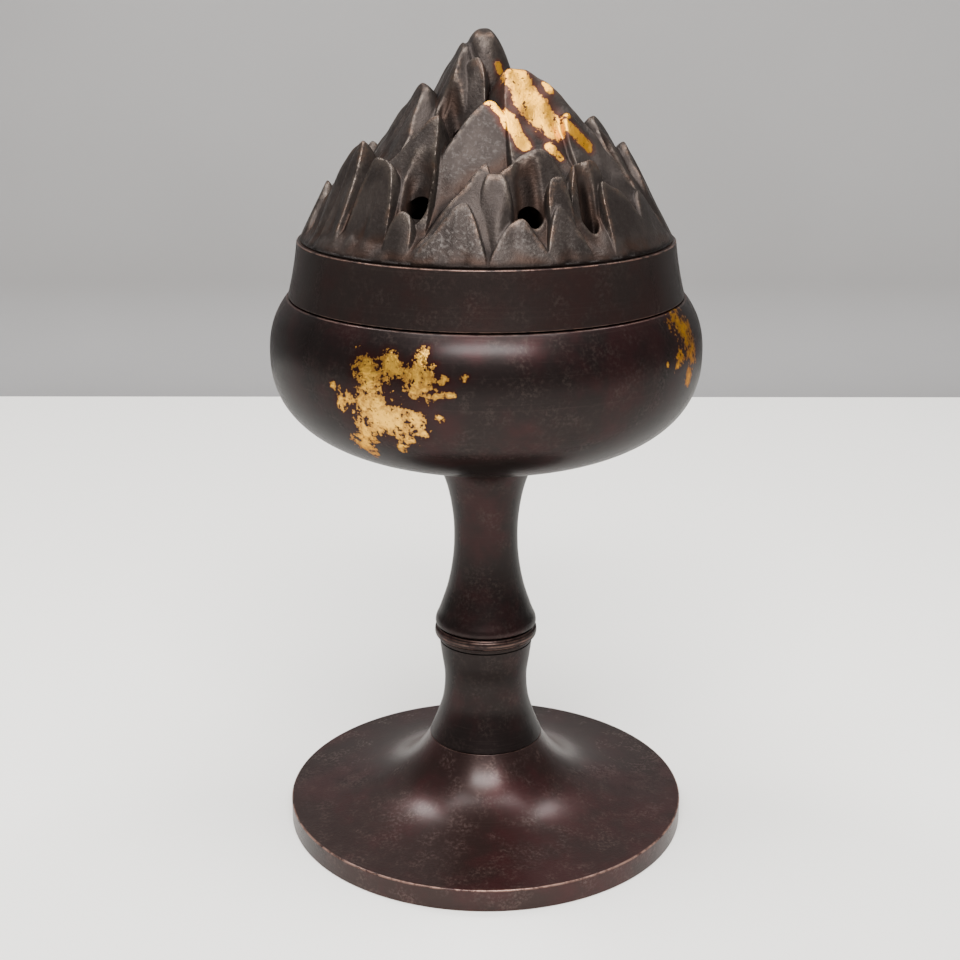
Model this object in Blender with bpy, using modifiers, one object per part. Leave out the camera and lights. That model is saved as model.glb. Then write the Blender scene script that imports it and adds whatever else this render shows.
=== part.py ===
"""Incense burner with a pierced hill for a lid, on a waisted stem and a round foot.

Metres, +Z up. The origin is at the middle of the foot's underside and the front faces -Y.
The bowl, the stem lengths and the foot are threaded on one tie rod. The ash liner and the lid
lift straight up, so each of them is parented to an empty on the burner's axis.
"""
import math

import bmesh
import bpy
from mathutils import Vector

MM = 0.001

# Foot
FOOT_RADIUS = 50.0 * MM
FOOT_EDGE = 5.33 * MM
FOOT_TOP_SLOPE = 0.03
FLARE_RISE = 15.3 * MM
FLARE_SPREAD = 8.7 * MM
FOOT_RIM_WIDTH = 6.0 * MM
FOOT_RECESS = 2.4 * MM

# Stem
STEM_FOOT_RADIUS = 14.2 * MM
LOWER_STEM_LENGTH = 25.4 * MM
LOWER_WAIST_RADIUS = 10.35 * MM
LOWER_TOP_RADIUS = 11.6 * MM
RING_HEIGHT = 3.8 * MM
RING_RADIUS = 12.8 * MM
UPPER_STEM_LENGTH = 44.3 * MM
SHOULDER_RADIUS = 12.65 * MM
UPPER_WAIST_RADIUS = 7.86 * MM
STEM_TOP_RADIUS = 14.0 * MM

# Tie rod and its fasteners
ROD_RADIUS = 3.0 * MM
ROD_CLEARANCE = 0.4 * MM
ROD_END_DROP = 1.0 * MM
NUT_FLATS = 10.0 * MM
NUT_HEIGHT = 5.0 * MM
WASHER_RADIUS = 7.6 * MM
WASHER_THICKNESS = 1.2 * MM
POCKET_CLEARANCE = 1.2 * MM
NUT_STAND_OFF = 2.2 * MM

# Bowl
BOWL_RADIUS = 51.02 * MM
BOWL_LOWER_DEPTH = 25.69 * MM
BOWL_UPPER_RISE = 26.58 * MM
BOWL_RIM_RISE = 13.16 * MM
BOWL_WALL = 2.8 * MM
BOWL_FLOOR = 3.6 * MM
BOSS_RADIUS = 8.0 * MM
BOSS_CROWN = 2.3 * MM
THREAD_DEPTH = 7.0 * MM
RIM_LAND = 4.07 * MM
LEDGE_WIDTH = 2.6 * MM
LEDGE_DEPTH = 6.2 * MM
LEDGE_THICKNESS = 2.6 * MM

# Ash liner
LINER_WALL = 1.2 * MM
LINER_FLOOR_GAP = 2.3 * MM
LINER_CORNER = 6.0 * MM
LINER_CLEARANCE = 0.4 * MM

# Lid
COLLAR_HEIGHT = 12.75 * MM
COLLAR_TAPER = 2.4 * MM
COLLAR_BOW = 0.25 * MM
COLLAR_EDGE = 0.4 * MM
COLLAR_WALL = 3.0 * MM
SPIGOT_WALL = 2.4 * MM
SPIGOT_CLEARANCE = 0.3 * MM
SPIGOT_LINER_GAP = 0.5 * MM
HILL_HEIGHT = 46.5 * MM
HILL_BASE_STEP = 0.8 * MM
HILL_BASE_BAND = 1.0 * MM
HILL_WALL = 2.8 * MM
SMOKE_HOLE_RADIUS = 2.7 * MM
SMOKE_HOLE_TILT = 38.0
SMOKE_HOLE_REACH = 16.0 * MM
SMOKE_HOLE_LEAD = 4.0 * MM

# Pieces that touch stay this far apart
GAP = 0.3 * MM

# Facets
ROUND_STEPS = 40
STEM_STEPS = 32
ROD_STEPS = 16
HILL_STEPS = 60
HILL_RINGS = 16
MERGE = 0.00001

# Heights of the stacked pieces
POCKET_Z = NUT_STAND_OFF + NUT_HEIGHT + WASHER_THICKNESS + 2 * GAP
STEM_SEAT_Z = FOOT_EDGE + FOOT_TOP_SLOPE * (FOOT_RADIUS - STEM_FOOT_RADIUS) + FLARE_RISE
LOWER_STEM_Z = STEM_SEAT_Z + GAP
RING_Z = LOWER_STEM_Z + LOWER_STEM_LENGTH + GAP
UPPER_STEM_Z = RING_Z + RING_HEIGHT + GAP
BOWL_Z = UPPER_STEM_Z + UPPER_STEM_LENGTH + GAP
BELLY_Z = BOWL_Z + BOWL_LOWER_DEPTH
RIM_Z = BELLY_Z + BOWL_RIM_RISE
LEDGE_Z = RIM_Z - LEDGE_DEPTH
BOSS_TOP_Z = BOWL_Z + THREAD_DEPTH + GAP + BOSS_CROWN
LINER_RIM_Z = LEDGE_Z + GAP
LINER_FLOOR_Z = BOSS_TOP_Z + LINER_FLOOR_GAP
COLLAR_Z = RIM_Z + GAP
COLLAR_TOP_Z = COLLAR_Z + COLLAR_HEIGHT
HILL_Z = COLLAR_TOP_Z + GAP

# The belly's two curves: powers of the flattened circles below and above the widest line
LOWER_POWERS = (2.806, 2.327)
UPPER_POWER = 2.363

# Radii that follow from the sizes above
ROD_BORE = ROD_RADIUS + ROD_CLEARANCE
THREAD_BORE = ROD_RADIUS + GAP
RIM_SHARE = 1.0 - (BOWL_RIM_RISE / BOWL_UPPER_RISE) ** UPPER_POWER
RIM_RADIUS = BOWL_RADIUS * RIM_SHARE ** (1.0 / UPPER_POWER)
MOUTH_RADIUS = RIM_RADIUS - RIM_LAND
LEDGE_RADIUS = MOUTH_RADIUS - LEDGE_WIDTH
LINER_RADIUS = LEDGE_RADIUS - LINER_CLEARANCE
SPIGOT_RADIUS = MOUTH_RADIUS - SPIGOT_CLEARANCE
COLLAR_RADIUS = RIM_RADIUS - GAP
COLLAR_TOP_RADIUS = COLLAR_RADIUS - COLLAR_TAPER
HILL_RADIUS = COLLAR_TOP_RADIUS - HILL_BASE_STEP

# The hill rises from a smooth mound: its radius and height are bent by these two powers
MOUND_RISE = 26.5 * MM
MOUND_POWERS = (1.35, 0.85)
SKIRT_SLOPE = 1.95

# One leaf of the hill, seen from outside: azimuth of its tip from the front towards +X in degrees,
# distance of the tip from the axis, height of the tip above the hill's base, half-widths left and
# right 10 mm below the tip, power of its outline (1 is a straight gable, 2 a round arch), slope of
# its face, and slope of its back. Lengths are in mm.
FRONT_LEAVES = (
    (-20.0, 6.9, 40.6, 3.6, 3.3, 2.2, 2.6, 2.5),
    (-80.0, 15.2, 34.6, 6.5, 7.0, 1.3, 1.5, 1.6),
    (58.0, 13.2, 37.8, 9.0, 10.5, 1.5, 1.25, 1.5),
    (52.0, 22.5, 28.9, 6.0, 6.0, 1.5, 1.6, 1.5),
    (1.5, 18.1, 31.8, 9.5, 9.0, 1.25, 1.7, 2.0),
    (-31.0, 23.2, 29.3, 8.5, 3.0, 1.2, 1.6, 2.0),
    (-60.0, 24.0, 25.0, 8.0, 6.5, 1.3, 1.6, 2.0),
    (78.0, 25.8, 27.8, 6.0, 6.0, 1.4, 1.5, 2.0),
    (-78.0, 31.6, 22.6, 5.5, 4.5, 1.5, 2.0, 2.2),
    (-49.0, 32.8, 20.0, 4.0, 7.0, 2.2, 2.3, 2.2),
    (92.0, 32.4, 21.9, 6.0, 6.0, 1.5, 1.8, 2.0),
    (21.0, 30.0, 22.8, 7.0, 6.5, 1.9, 2.6, 2.2),
    (0.0, 32.2, 20.2, 9.0, 4.0, 1.05, 2.0, 2.2),
    (40.5, 32.6, 20.3, 4.5, 5.0, 2.4, 3.2, 2.2),
    (4.5, 33.8, 18.3, 3.3, 3.3, 2.4, 2.1, 2.5),
    (27.0, 34.6, 16.6, 3.2, 3.2, 2.2, 2.6, 2.5),
    (-8.5, 36.8, 12.9, 9.2, 4.3, 1.2, 2.05, 2.5),
    (10.5, 38.3, 9.3, 6.5, 7.0, 1.5, 2.05, 2.5),
    (26.4, 37.3, 11.6, 4.8, 4.0, 1.4, 2.05, 2.5),
    (49.0, 35.6, 16.6, 5.5, 9.0, 1.6, 2.0, 2.5),
    (66.0, 36.9, 12.8, 6.0, 6.0, 1.3, 1.95, 2.5),
    (-29.5, 38.4, 9.6, 3.5, 3.5, 2.2, 2.1, 2.5),
    (-66.0, 37.2, 12.0, 6.5, 6.5, 1.4, 1.95, 2.5),
    (-88.0, 37.0, 13.0, 6.5, 6.5, 1.4, 1.95, 2.5),
)

# The back's tiers of leaves: first and last azimuth and number of leaves, then the tip's distance
# and height, the half-width, and the outline's power, the face's slope and the back's, as above.
BACK_TIERS = (
    (76.0, 250.0, 2, 14.5, 35.2, 7.5, 1.3, 1.5, 1.7),
    (100.0, 270.0, 4, 24.5, 27.3, 7.4, 1.3, 1.6, 2.0),
    (100.0, 276.0, 6, 31.9, 21.0, 6.2, 1.4, 2.0, 2.2),
    (80.0, 262.0, 8, 37.2, 12.4, 6.6, 1.4, 2.0, 2.5),
)
TIP_SWAY = 1.3

# The summit: half-widths 10 mm below its tip to the left, to the right and to front and back in
# mm, the power of its sides, and how blunt its tip is as a share of those widths
SUMMIT_WIDTHS = (9.4, 6.3, 8.0)
SUMMIT_POWER = 1.15
SUMMIT_BLUNTNESS = 0.22

# The leaves and the summit are drawn for a hill of this height and base radius
DRAWN_HEIGHT = 46.5
DRAWN_RADIUS = 43.17

# Smoke holes: azimuth in degrees, and distance from the axis and height above the hill's base of
# the mouth in mm
SMOKE_HOLES = (
    (-24.5, 34.8, 11.0), (13.9, 35.6, 8.8), (-14.0, 15.5, 23.0), (97.0, 34.5, 10.0),
    (140.0, 34.5, 10.0), (183.0, 34.5, 10.0), (226.0, 34.5, 10.0), (265.0, 34.5, 10.0),
    (120.0, 16.5, 22.0), (215.0, 16.5, 22.0),
)

BRONZE_DARK = (0.040, 0.022, 0.020, 1.0)
BRONZE_HILL = (0.052, 0.044, 0.040, 1.0)
BRONZE_FOOT = (0.062, 0.032, 0.028, 1.0)
COPPER = (0.52, 0.24, 0.13, 1.0)
BRASS = (0.45, 0.33, 0.14, 1.0)
STEEL = (0.36, 0.36, 0.37, 1.0)


def clear_scene():
    """Remove every object, and the collections that an earlier run left."""
    for item in list(bpy.data.objects):
        bpy.data.objects.remove(item, do_unlink=True)
    for group in list(bpy.data.collections):
        bpy.data.collections.remove(group)


def new_collection(name):
    """Return a new collection in the scene."""
    group = bpy.data.collections.new(name)
    bpy.context.scene.collection.children.link(group)
    return group


def metal(name, color, roughness):
    """Return a metal material with one colour and roughness."""
    material = bpy.data.materials.new(name)
    material.use_nodes = True
    shader = material.node_tree.nodes["Principled BSDF"]
    shader.inputs["Base Color"].default_value = color
    shader.inputs["Roughness"].default_value = roughness
    shader.inputs["Metallic"].default_value = 1.0
    material.diffuse_color = color
    return material


def smooth_through(points, steps):
    """Return points on a smooth curve through the given (radius, height) points."""
    ends = [points[0], *points, points[-1]]
    curve = []
    for before, start, end, after in zip(ends, ends[1:], ends[2:], ends[3:]):
        for step in range(steps):
            t = step / steps
            curve.append(tuple(
                0.5 * (2 * b + (c - a) * t + (2 * a - 5 * b + 4 * c - d) * t ** 2
                       + (3 * b - a - 3 * c + d) * t ** 3)
                for a, b, c, d in zip(before, start, end, after)))
    curve.append(points[-1])
    return curve


def turned(name, profile, steps, material, group):
    """Return a piece turned about Z from (radius, height) points.

    The points run down the outer side and back up the inner side. A profile whose two ends are
    on the axis is open there; any other is closed.
    """
    mesh = bpy.data.meshes.new(name)
    ends_on_axis = profile[0][0] == 0.0 and profile[-1][0] == 0.0
    count = len(profile)
    edges = [(index, index + 1) for index in range(count - 1)]
    if not ends_on_axis:
        edges.append((count - 1, 0))
    mesh.from_pydata([(radius, 0.0, height) for radius, height in profile], edges, [])
    piece = bpy.data.objects.new(name, mesh)
    group.objects.link(piece)
    screw = piece.modifiers.new("turn", "SCREW")
    screw.axis = "Z"
    screw.steps = steps
    screw.render_steps = steps
    screw.use_merge_vertices = True
    screw.merge_threshold = MERGE
    screw.use_smooth_shade = True
    mesh.materials.append(material)
    return piece


def bowl_outer_radius(height):
    """Return the bowl's outer radius at a height above its widest line (negative below it)."""
    if height >= 0.0:
        share = 1.0 - (height / BOWL_UPPER_RISE) ** UPPER_POWER
        return BOWL_RADIUS * share ** (1.0 / UPPER_POWER)
    across, down = LOWER_POWERS
    share = 1.0 - (-height / BOWL_LOWER_DEPTH) ** down
    return BOWL_RADIUS * share ** (1.0 / across)


def belly_quarter(radius, depth, inner_radius, steps):
    """Return the lower belly from its widest line in to inner_radius on the underside."""
    across, down = LOWER_POWERS
    last = math.acos((inner_radius / radius) ** (across / 2.0))
    points = []
    for step in range(steps + 1):
        angle = last * step / steps
        points.append((radius * math.cos(angle) ** (2.0 / across),
                       BELLY_Z - depth * math.sin(angle) ** (2.0 / down)))
    return points


def bowl_profile():
    """Return the bowl's profile: boss, inner wall, ledge, mouth, rim, belly and thread hole."""
    inner_radius = BOWL_RADIUS - BOWL_WALL
    inner = belly_quarter(inner_radius, BOWL_LOWER_DEPTH - BOWL_FLOOR, BOSS_RADIUS, 8)
    ledge_under_z = LEDGE_Z - LEDGE_THICKNESS
    upper_steps = 5
    upper = [(bowl_outer_radius(BOWL_RIM_RISE * step / upper_steps),
              BELLY_Z + BOWL_RIM_RISE * step / upper_steps)
             for step in range(upper_steps, 0, -1)]
    outer = belly_quarter(BOWL_RADIUS, BOWL_LOWER_DEPTH, STEM_TOP_RADIUS, 10)
    hole_top_z = BOWL_Z + THREAD_DEPTH + GAP
    return [(0.0, BOSS_TOP_Z), (BOSS_RADIUS - GAP, BOSS_TOP_Z), (BOSS_RADIUS, BOSS_TOP_Z - GAP),
            *reversed(inner),
            (LEDGE_RADIUS, ledge_under_z), (LEDGE_RADIUS, LEDGE_Z), (MOUTH_RADIUS, LEDGE_Z),
            (MOUTH_RADIUS, RIM_Z), *upper, *outer,
            (STEM_TOP_RADIUS - GAP, BOWL_Z), (THREAD_BORE, BOWL_Z), (THREAD_BORE, hole_top_z),
            (0.0, hole_top_z)]


def liner_profile():
    """Return the ash liner's profile: a cup hung by its rim."""
    rim_top_z = LINER_RIM_Z + LINER_WALL
    corner_steps = 4

    def corner(radius):
        return [(LINER_RADIUS - LINER_CORNER + radius * math.cos(angle),
                 LINER_FLOOR_Z + LINER_CORNER - radius * math.sin(angle))
                for angle in (math.pi / 2 * step / corner_steps for step in range(corner_steps + 1))]

    inside = corner(LINER_CORNER - LINER_WALL)
    rim_radius = MOUTH_RADIUS - LINER_CLEARANCE
    return [(0.0, LINER_FLOOR_Z + LINER_WALL), *reversed(inside), (LINER_RADIUS - LINER_WALL, rim_top_z),
            (rim_radius, rim_top_z), (rim_radius, LINER_RIM_Z), (LINER_RADIUS, LINER_RIM_Z),
            *corner(LINER_CORNER), (0.0, LINER_FLOOR_Z)]


def stem_profile(side, bottom_z):
    """Return a bored stem length from its outer side, given from its foot up."""
    top_z = side[-1][1]
    return [*reversed(side), (ROD_BORE, bottom_z), (ROD_BORE, top_z)]


def lower_stem_profile():
    """Return the lower stem: wide at the foot, waisted, and slightly wider at the ring."""
    flare = STEM_FOOT_RADIUS - LOWER_WAIST_RADIUS
    swell = LOWER_TOP_RADIUS - LOWER_WAIST_RADIUS
    shape = ((0.0, flare), (0.17, 0.54 * flare), (0.38, 0.12 * flare), (0.62, 0.0),
             (0.85, 0.6 * swell), (1.0, swell))
    side = smooth_through([(LOWER_WAIST_RADIUS + out, LOWER_STEM_Z + share * LOWER_STEM_LENGTH)
                           for share, out in shape], 2)
    return stem_profile(side, LOWER_STEM_Z)


def upper_stem_profile():
    """Return the upper stem: a round shoulder above the ring, a long waist, a flare to the bowl."""
    shoulder = SHOULDER_RADIUS - UPPER_WAIST_RADIUS
    flare = STEM_TOP_RADIUS - UPPER_WAIST_RADIUS
    shape = ((0.0, 0.93 * shoulder), (0.014, shoulder), (0.04, 0.94 * shoulder),
             (0.095, 0.74 * shoulder), (0.23, 0.335 * shoulder), (0.37, 0.09 * shoulder),
             (0.5, 0.0), (0.64, 0.035 * flare), (0.8, 0.235 * flare), (0.92, 0.56 * flare),
             (1.0, flare))
    side = [(UPPER_WAIST_RADIUS + out, UPPER_STEM_Z + share * UPPER_STEM_LENGTH)
            for share, out in shape]
    return stem_profile(side, UPPER_STEM_Z)


def ring_profile():
    """Return the node ring: two fine steps up to a bead."""
    neck = RING_RADIUS - LOWER_TOP_RADIUS
    shape = ((0.0, 0.0), (0.13, 0.4 * neck), (0.34, 0.75 * neck), (0.58, neck), (0.8, 0.92 * neck),
             (1.0, 0.55 * neck))
    side = [(LOWER_TOP_RADIUS + out, RING_Z + share * RING_HEIGHT) for share, out in shape]
    return stem_profile(side, RING_Z)


def foot_profile():
    """Return the foot: a flared top over a flat rim, with a shallow recess and a nut pocket."""
    flare_steps = 9
    top = []
    for step in range(flare_steps + 1):
        share = (step / flare_steps) ** 1.8
        radius = STEM_FOOT_RADIUS + (FOOT_RADIUS - STEM_FOOT_RADIUS) * share
        rise = FLARE_RISE * math.exp((STEM_FOOT_RADIUS - radius) / FLARE_SPREAD)
        top.append((radius, FOOT_EDGE + FOOT_TOP_SLOPE * (FOOT_RADIUS - radius) + rise))
    pocket_radius = WASHER_RADIUS + POCKET_CLEARANCE
    recess_radius = FOOT_RADIUS - FOOT_RIM_WIDTH
    return [*top, (FOOT_RADIUS, 0.0), (recess_radius, 0.0), (recess_radius, FOOT_RECESS),
            (pocket_radius, FOOT_RECESS), (pocket_radius, POCKET_Z), (ROD_BORE, POCKET_Z),
            (ROD_BORE, STEM_SEAT_Z)]


def rod_profile():
    """Return the tie rod, with small chamfers at its ends."""
    bottom_z = ROD_END_DROP
    top_z = BOWL_Z + THREAD_DEPTH
    chamfer = ROD_RADIUS / 5
    return [(0.0, top_z), (ROD_RADIUS - chamfer, top_z), (ROD_RADIUS, top_z - chamfer),
            (ROD_RADIUS, bottom_z + chamfer), (ROD_RADIUS - chamfer, bottom_z), (0.0, bottom_z)]


def washer_profile():
    """Return the washer that bears on the pocket's roof."""
    top_z = POCKET_Z - GAP
    bottom_z = top_z - WASHER_THICKNESS
    return [(WASHER_RADIUS, top_z), (WASHER_RADIUS, bottom_z), (ROD_BORE, bottom_z),
            (ROD_BORE, top_z)]


def collar_outer(share):
    """Return the collar's outer radius and height at a share of its height."""
    bow = COLLAR_BOW * 4 * share * (1 - share)
    return COLLAR_RADIUS - COLLAR_TAPER * share - bow, COLLAR_Z + COLLAR_HEIGHT * share


def collar_profile():
    """Return the lid's collar: a tapered ring with a spigot for the bowl's mouth."""
    spigot_z = LINER_RIM_Z + LINER_WALL + SPIGOT_LINER_GAP
    spigot_inner = SPIGOT_RADIUS - SPIGOT_WALL
    side = [collar_outer(share) for share in (0.96, 0.66, 0.33, 0.0)]
    shoulder_radius, shoulder_z = collar_outer(0.5)
    return [(COLLAR_TOP_RADIUS - COLLAR_EDGE, COLLAR_TOP_Z), *side, (SPIGOT_RADIUS, COLLAR_Z),
            (SPIGOT_RADIUS, spigot_z), (spigot_inner, spigot_z),
            (spigot_inner, shoulder_z - COLLAR_WALL), (shoulder_radius - COLLAR_WALL, shoulder_z),
            (COLLAR_TOP_RADIUS - COLLAR_WALL, COLLAR_TOP_Z)]


def mound_height(radius, inset):
    """Return the smooth mound's height above the hill's base, inset by a wall or by nothing."""
    edge = HILL_RADIUS - inset
    across, up = MOUND_POWERS
    share = max(0.0, 1.0 - (min(radius, edge) / edge) ** across)
    return (MOUND_RISE - inset * 1.2) * share ** up


def all_leaves():
    """Return every leaf of the hill: the front's one by one, the back's tier by tier."""
    leaves = list(FRONT_LEAVES)
    for tier, (first, last, count, distance, tip, width, *slopes) in enumerate(BACK_TIERS):
        for index in range(count):
            azimuth = first + (last - first) * (index + 0.5) / count
            sway = TIP_SWAY * math.sin(2.4 * index + 1.7 * tier)
            leaves.append((azimuth + 2.0 * sway, distance, tip + sway, width, width, *slopes))
    return leaves


def leaf_height(x, y, leaf):
    """Return one leaf's height at (x, y) in mm: the lower of its face and its outline."""
    azimuth, distance, tip, left, right, power, face_slope, back_slope = leaf
    angle = math.radians(azimuth)
    out = x * math.sin(angle) - y * math.cos(angle) - distance
    across = x * math.cos(angle) + y * math.sin(angle)
    half_width = left if across < 0.0 else right
    outline = tip - 10.0 * (abs(across) / half_width) ** power + back_slope * min(out, 0.0)
    return min(outline, tip - face_slope * out)


def summit_height(x, y):
    """Return the summit's height at (x, y) in mm."""
    left, right, depth = SUMMIT_WIDTHS
    half_width = left if x < 0.0 else right
    away = math.hypot(x / half_width, y / depth)
    blunt_away = math.hypot(away, SUMMIT_BLUNTNESS) - SUMMIT_BLUNTNESS
    blunt_width = math.hypot(1.0, SUMMIT_BLUNTNESS) - SUMMIT_BLUNTNESS
    return DRAWN_HEIGHT - 10.0 * (blunt_away / blunt_width) ** SUMMIT_POWER


def hill_height(x, y, leaves):
    """Return the hill's height above its base at (x, y) in metres.

    The leaves are drawn in mm for a hill of one size, and stretched to the hill's own size.
    """
    radius = math.hypot(x, y)
    spread = DRAWN_RADIUS / HILL_RADIUS
    drawn_x = x * spread
    drawn_y = y * spread
    highest = max(leaf_height(drawn_x, drawn_y, leaf) for leaf in leaves)
    highest = max(highest, summit_height(drawn_x, drawn_y)) * HILL_HEIGHT / DRAWN_HEIGHT
    skirt = HILL_BASE_BAND + SKIRT_SLOPE * (HILL_RADIUS - radius)
    return min(max(mound_height(radius, 0.0), highest), skirt)


def hill_profile():
    """Return the hill's shell before its peaks: the mound outside, a smooth core inside."""
    outer = [(0.0, HILL_Z + MOUND_RISE)]
    for ring in range(1, HILL_RINGS + 1):
        radius = HILL_RADIUS * ring / HILL_RINGS
        outer.append((radius, HILL_Z + HILL_BASE_BAND + mound_height(radius, 0.0)))
    core_radius = HILL_RADIUS - HILL_WALL
    inner = []
    core_rings = 7
    for ring in range(core_rings, -1, -1):
        radius = core_radius * ring / core_rings
        inner.append((radius, HILL_Z + mound_height(radius, HILL_WALL)))
    return [*outer, (HILL_RADIUS, HILL_Z), *inner]


def make_hill(material, group, cutters):
    """Return the lid's hill: a turned shell with its outer skin raised into peaks, then pierced."""
    shell = turned("hill_blank", hill_profile(), HILL_STEPS, material, group)
    evaluated = shell.evaluated_get(bpy.context.evaluated_depsgraph_get())
    mesh = bpy.data.meshes.new_from_object(evaluated)
    bpy.data.objects.remove(shell, do_unlink=True)
    mesh.name = "lid_mountain"
    hill = bpy.data.objects.new("lid_mountain", mesh)
    group.objects.link(hill)
    leaves = all_leaves()
    for vertex in mesh.vertices:
        radius = math.hypot(vertex.co.x, vertex.co.y)
        blank_z = HILL_Z + HILL_BASE_BAND + mound_height(radius, 0.0)
        if radius < MERGE:
            blank_z = HILL_Z + MOUND_RISE
        if vertex.co.z > blank_z - MERGE:
            height = hill_height(vertex.co.x, vertex.co.y, leaves)
            vertex.co.z = HILL_Z + max(height, HILL_BASE_BAND)
    for index, mouth in enumerate(SMOKE_HOLES):
        cut(hill, smoke_hole(f"smoke_hole_{index + 1}", mouth, cutters))
    return hill


def smoke_hole(name, mouth, cutters):
    """Return the cutter of one smoke hole, which runs down and in from its mouth to the hollow."""
    azimuth, distance, height = mouth
    mesh = bpy.data.meshes.new(name)
    shape = bmesh.new()
    bmesh.ops.create_cone(shape, cap_ends=True, segments=10, radius1=SMOKE_HOLE_RADIUS,
                          radius2=SMOKE_HOLE_RADIUS, depth=SMOKE_HOLE_REACH)
    shape.to_mesh(mesh)
    shape.free()
    cutter = bpy.data.objects.new(name, mesh)
    cutters.objects.link(cutter)
    angle = math.radians(azimuth)
    tilt = math.radians(SMOKE_HOLE_TILT)
    outward = Vector((math.sin(angle), -math.cos(angle), 0.0))
    along = outward * math.cos(tilt) + Vector((0.0, 0.0, math.sin(tilt)))
    centre = (outward * (distance * HILL_RADIUS / DRAWN_RADIUS)
              + Vector((0.0, 0.0, HILL_Z + height * HILL_HEIGHT / DRAWN_HEIGHT)))
    cutter.location = centre + along * (SMOKE_HOLE_LEAD - SMOKE_HOLE_REACH / 2)
    cutter.rotation_mode = "QUATERNION"
    cutter.rotation_quaternion = along.to_track_quat("Z", "Y")
    cutter.display_type = "WIRE"
    cutter.hide_render = True
    return cutter


def cut(piece, cutter):
    """Cut one shape out of a piece."""
    boolean = piece.modifiers.new(cutter.name, "BOOLEAN")
    boolean.operation = "DIFFERENCE"
    boolean.solver = "EXACT"
    boolean.object = cutter


def make_nut(material, group, cutters):
    """Return the hexagonal nut on the tie rod's lower end."""
    top_z = POCKET_Z - WASHER_THICKNESS - 2 * GAP
    mesh = bpy.data.meshes.new("foot_nut")
    shape = bmesh.new()
    corner_radius = NUT_FLATS / math.sqrt(3)
    bmesh.ops.create_cone(shape, cap_ends=True, segments=6, radius1=corner_radius,
                          radius2=corner_radius, depth=NUT_HEIGHT)
    shape.to_mesh(mesh)
    shape.free()
    mesh.materials.append(material)
    nut = bpy.data.objects.new("foot_nut", mesh)
    nut.location = (0.0, 0.0, top_z - NUT_HEIGHT / 2)
    group.objects.link(nut)
    bore_mesh = bpy.data.meshes.new("nut_bore")
    shape = bmesh.new()
    bmesh.ops.create_cone(shape, cap_ends=True, segments=ROD_STEPS, radius1=THREAD_BORE,
                          radius2=THREAD_BORE, depth=NUT_HEIGHT * 2)
    shape.to_mesh(bore_mesh)
    shape.free()
    bore = bpy.data.objects.new("nut_bore", bore_mesh)
    bore.location = nut.location
    bore.display_type = "WIRE"
    bore.hide_render = True
    cutters.objects.link(bore)
    cut(nut, bore)
    return nut


def lift_point(name, height, group):
    """Return the empty on the burner's axis that a piece lifts with."""
    empty = bpy.data.objects.new(name, None)
    empty.location = (0.0, 0.0, height)
    group.objects.link(empty)
    return empty


def hang_on(piece, empty):
    """Parent a piece to an empty without moving it."""
    piece.parent = empty
    piece.matrix_parent_inverse.translation = -empty.location


def main():
    """Build the burner."""
    clear_scene()
    burner = new_collection("incense_burner")
    cutters = new_collection("incense_burner_cutters")
    dark = metal("patinated_bronze", BRONZE_DARK, 0.38)
    hill_bronze = metal("hill_bronze", BRONZE_HILL, 0.5)
    foot_bronze = metal("foot_bronze", BRONZE_FOOT, 0.36)
    copper = metal("spun_copper", COPPER, 0.35)
    steel = metal("rod_steel", STEEL, 0.4)
    brass = metal("nut_brass", BRASS, 0.35)
    turned("foot", foot_profile(), ROUND_STEPS, foot_bronze, burner)
    turned("stem_lower", lower_stem_profile(), STEM_STEPS, dark, burner)
    turned("stem_ring", ring_profile(), STEM_STEPS, dark, burner)
    turned("stem_upper", upper_stem_profile(), STEM_STEPS, dark, burner)
    turned("bowl", bowl_profile(), ROUND_STEPS, dark, burner)
    turned("tie_rod", rod_profile(), ROD_STEPS, steel, burner)
    turned("foot_washer", washer_profile(), STEM_STEPS, brass, burner)
    make_nut(brass, burner, cutters)
    liner = turned("ash_liner", liner_profile(), ROUND_STEPS, copper, burner)
    hang_on(liner, lift_point("liner_lift_point", LINER_RIM_Z, burner))
    lid_point = lift_point("lid_lift_point", COLLAR_Z, burner)
    hang_on(turned("lid_collar", collar_profile(), ROUND_STEPS, dark, burner), lid_point)
    hang_on(make_hill(hill_bronze, burner, cutters), lid_point)


main()
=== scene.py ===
"""Visual model of a bronze incense burner whose lid is a pierced mountain.

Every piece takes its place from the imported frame's boxes, in metres, with +Z up and the front
facing -Y. The foot, stem and bowl stay with the root body; the ash cup and the lid lift.
"""
import logging
import math
from dataclasses import dataclass, field
from enum import Enum
from typing import Any, Sequence

import bpy
import bmesh
import numpy as np
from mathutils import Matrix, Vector


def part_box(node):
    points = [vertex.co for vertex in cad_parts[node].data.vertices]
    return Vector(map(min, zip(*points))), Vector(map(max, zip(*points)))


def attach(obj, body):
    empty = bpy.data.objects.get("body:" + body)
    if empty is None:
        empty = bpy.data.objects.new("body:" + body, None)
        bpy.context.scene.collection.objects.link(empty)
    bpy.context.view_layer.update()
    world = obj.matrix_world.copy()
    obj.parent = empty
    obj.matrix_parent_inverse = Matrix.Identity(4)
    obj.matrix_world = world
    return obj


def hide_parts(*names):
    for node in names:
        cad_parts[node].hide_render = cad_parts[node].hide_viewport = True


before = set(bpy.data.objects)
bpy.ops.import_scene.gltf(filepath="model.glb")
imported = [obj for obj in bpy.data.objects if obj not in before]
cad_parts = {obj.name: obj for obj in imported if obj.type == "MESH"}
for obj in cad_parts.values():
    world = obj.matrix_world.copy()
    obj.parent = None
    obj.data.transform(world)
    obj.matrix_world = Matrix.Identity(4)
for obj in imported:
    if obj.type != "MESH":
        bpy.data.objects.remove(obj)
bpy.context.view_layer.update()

MM = 0.001
LOG = logging.getLogger("burner")
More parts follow.
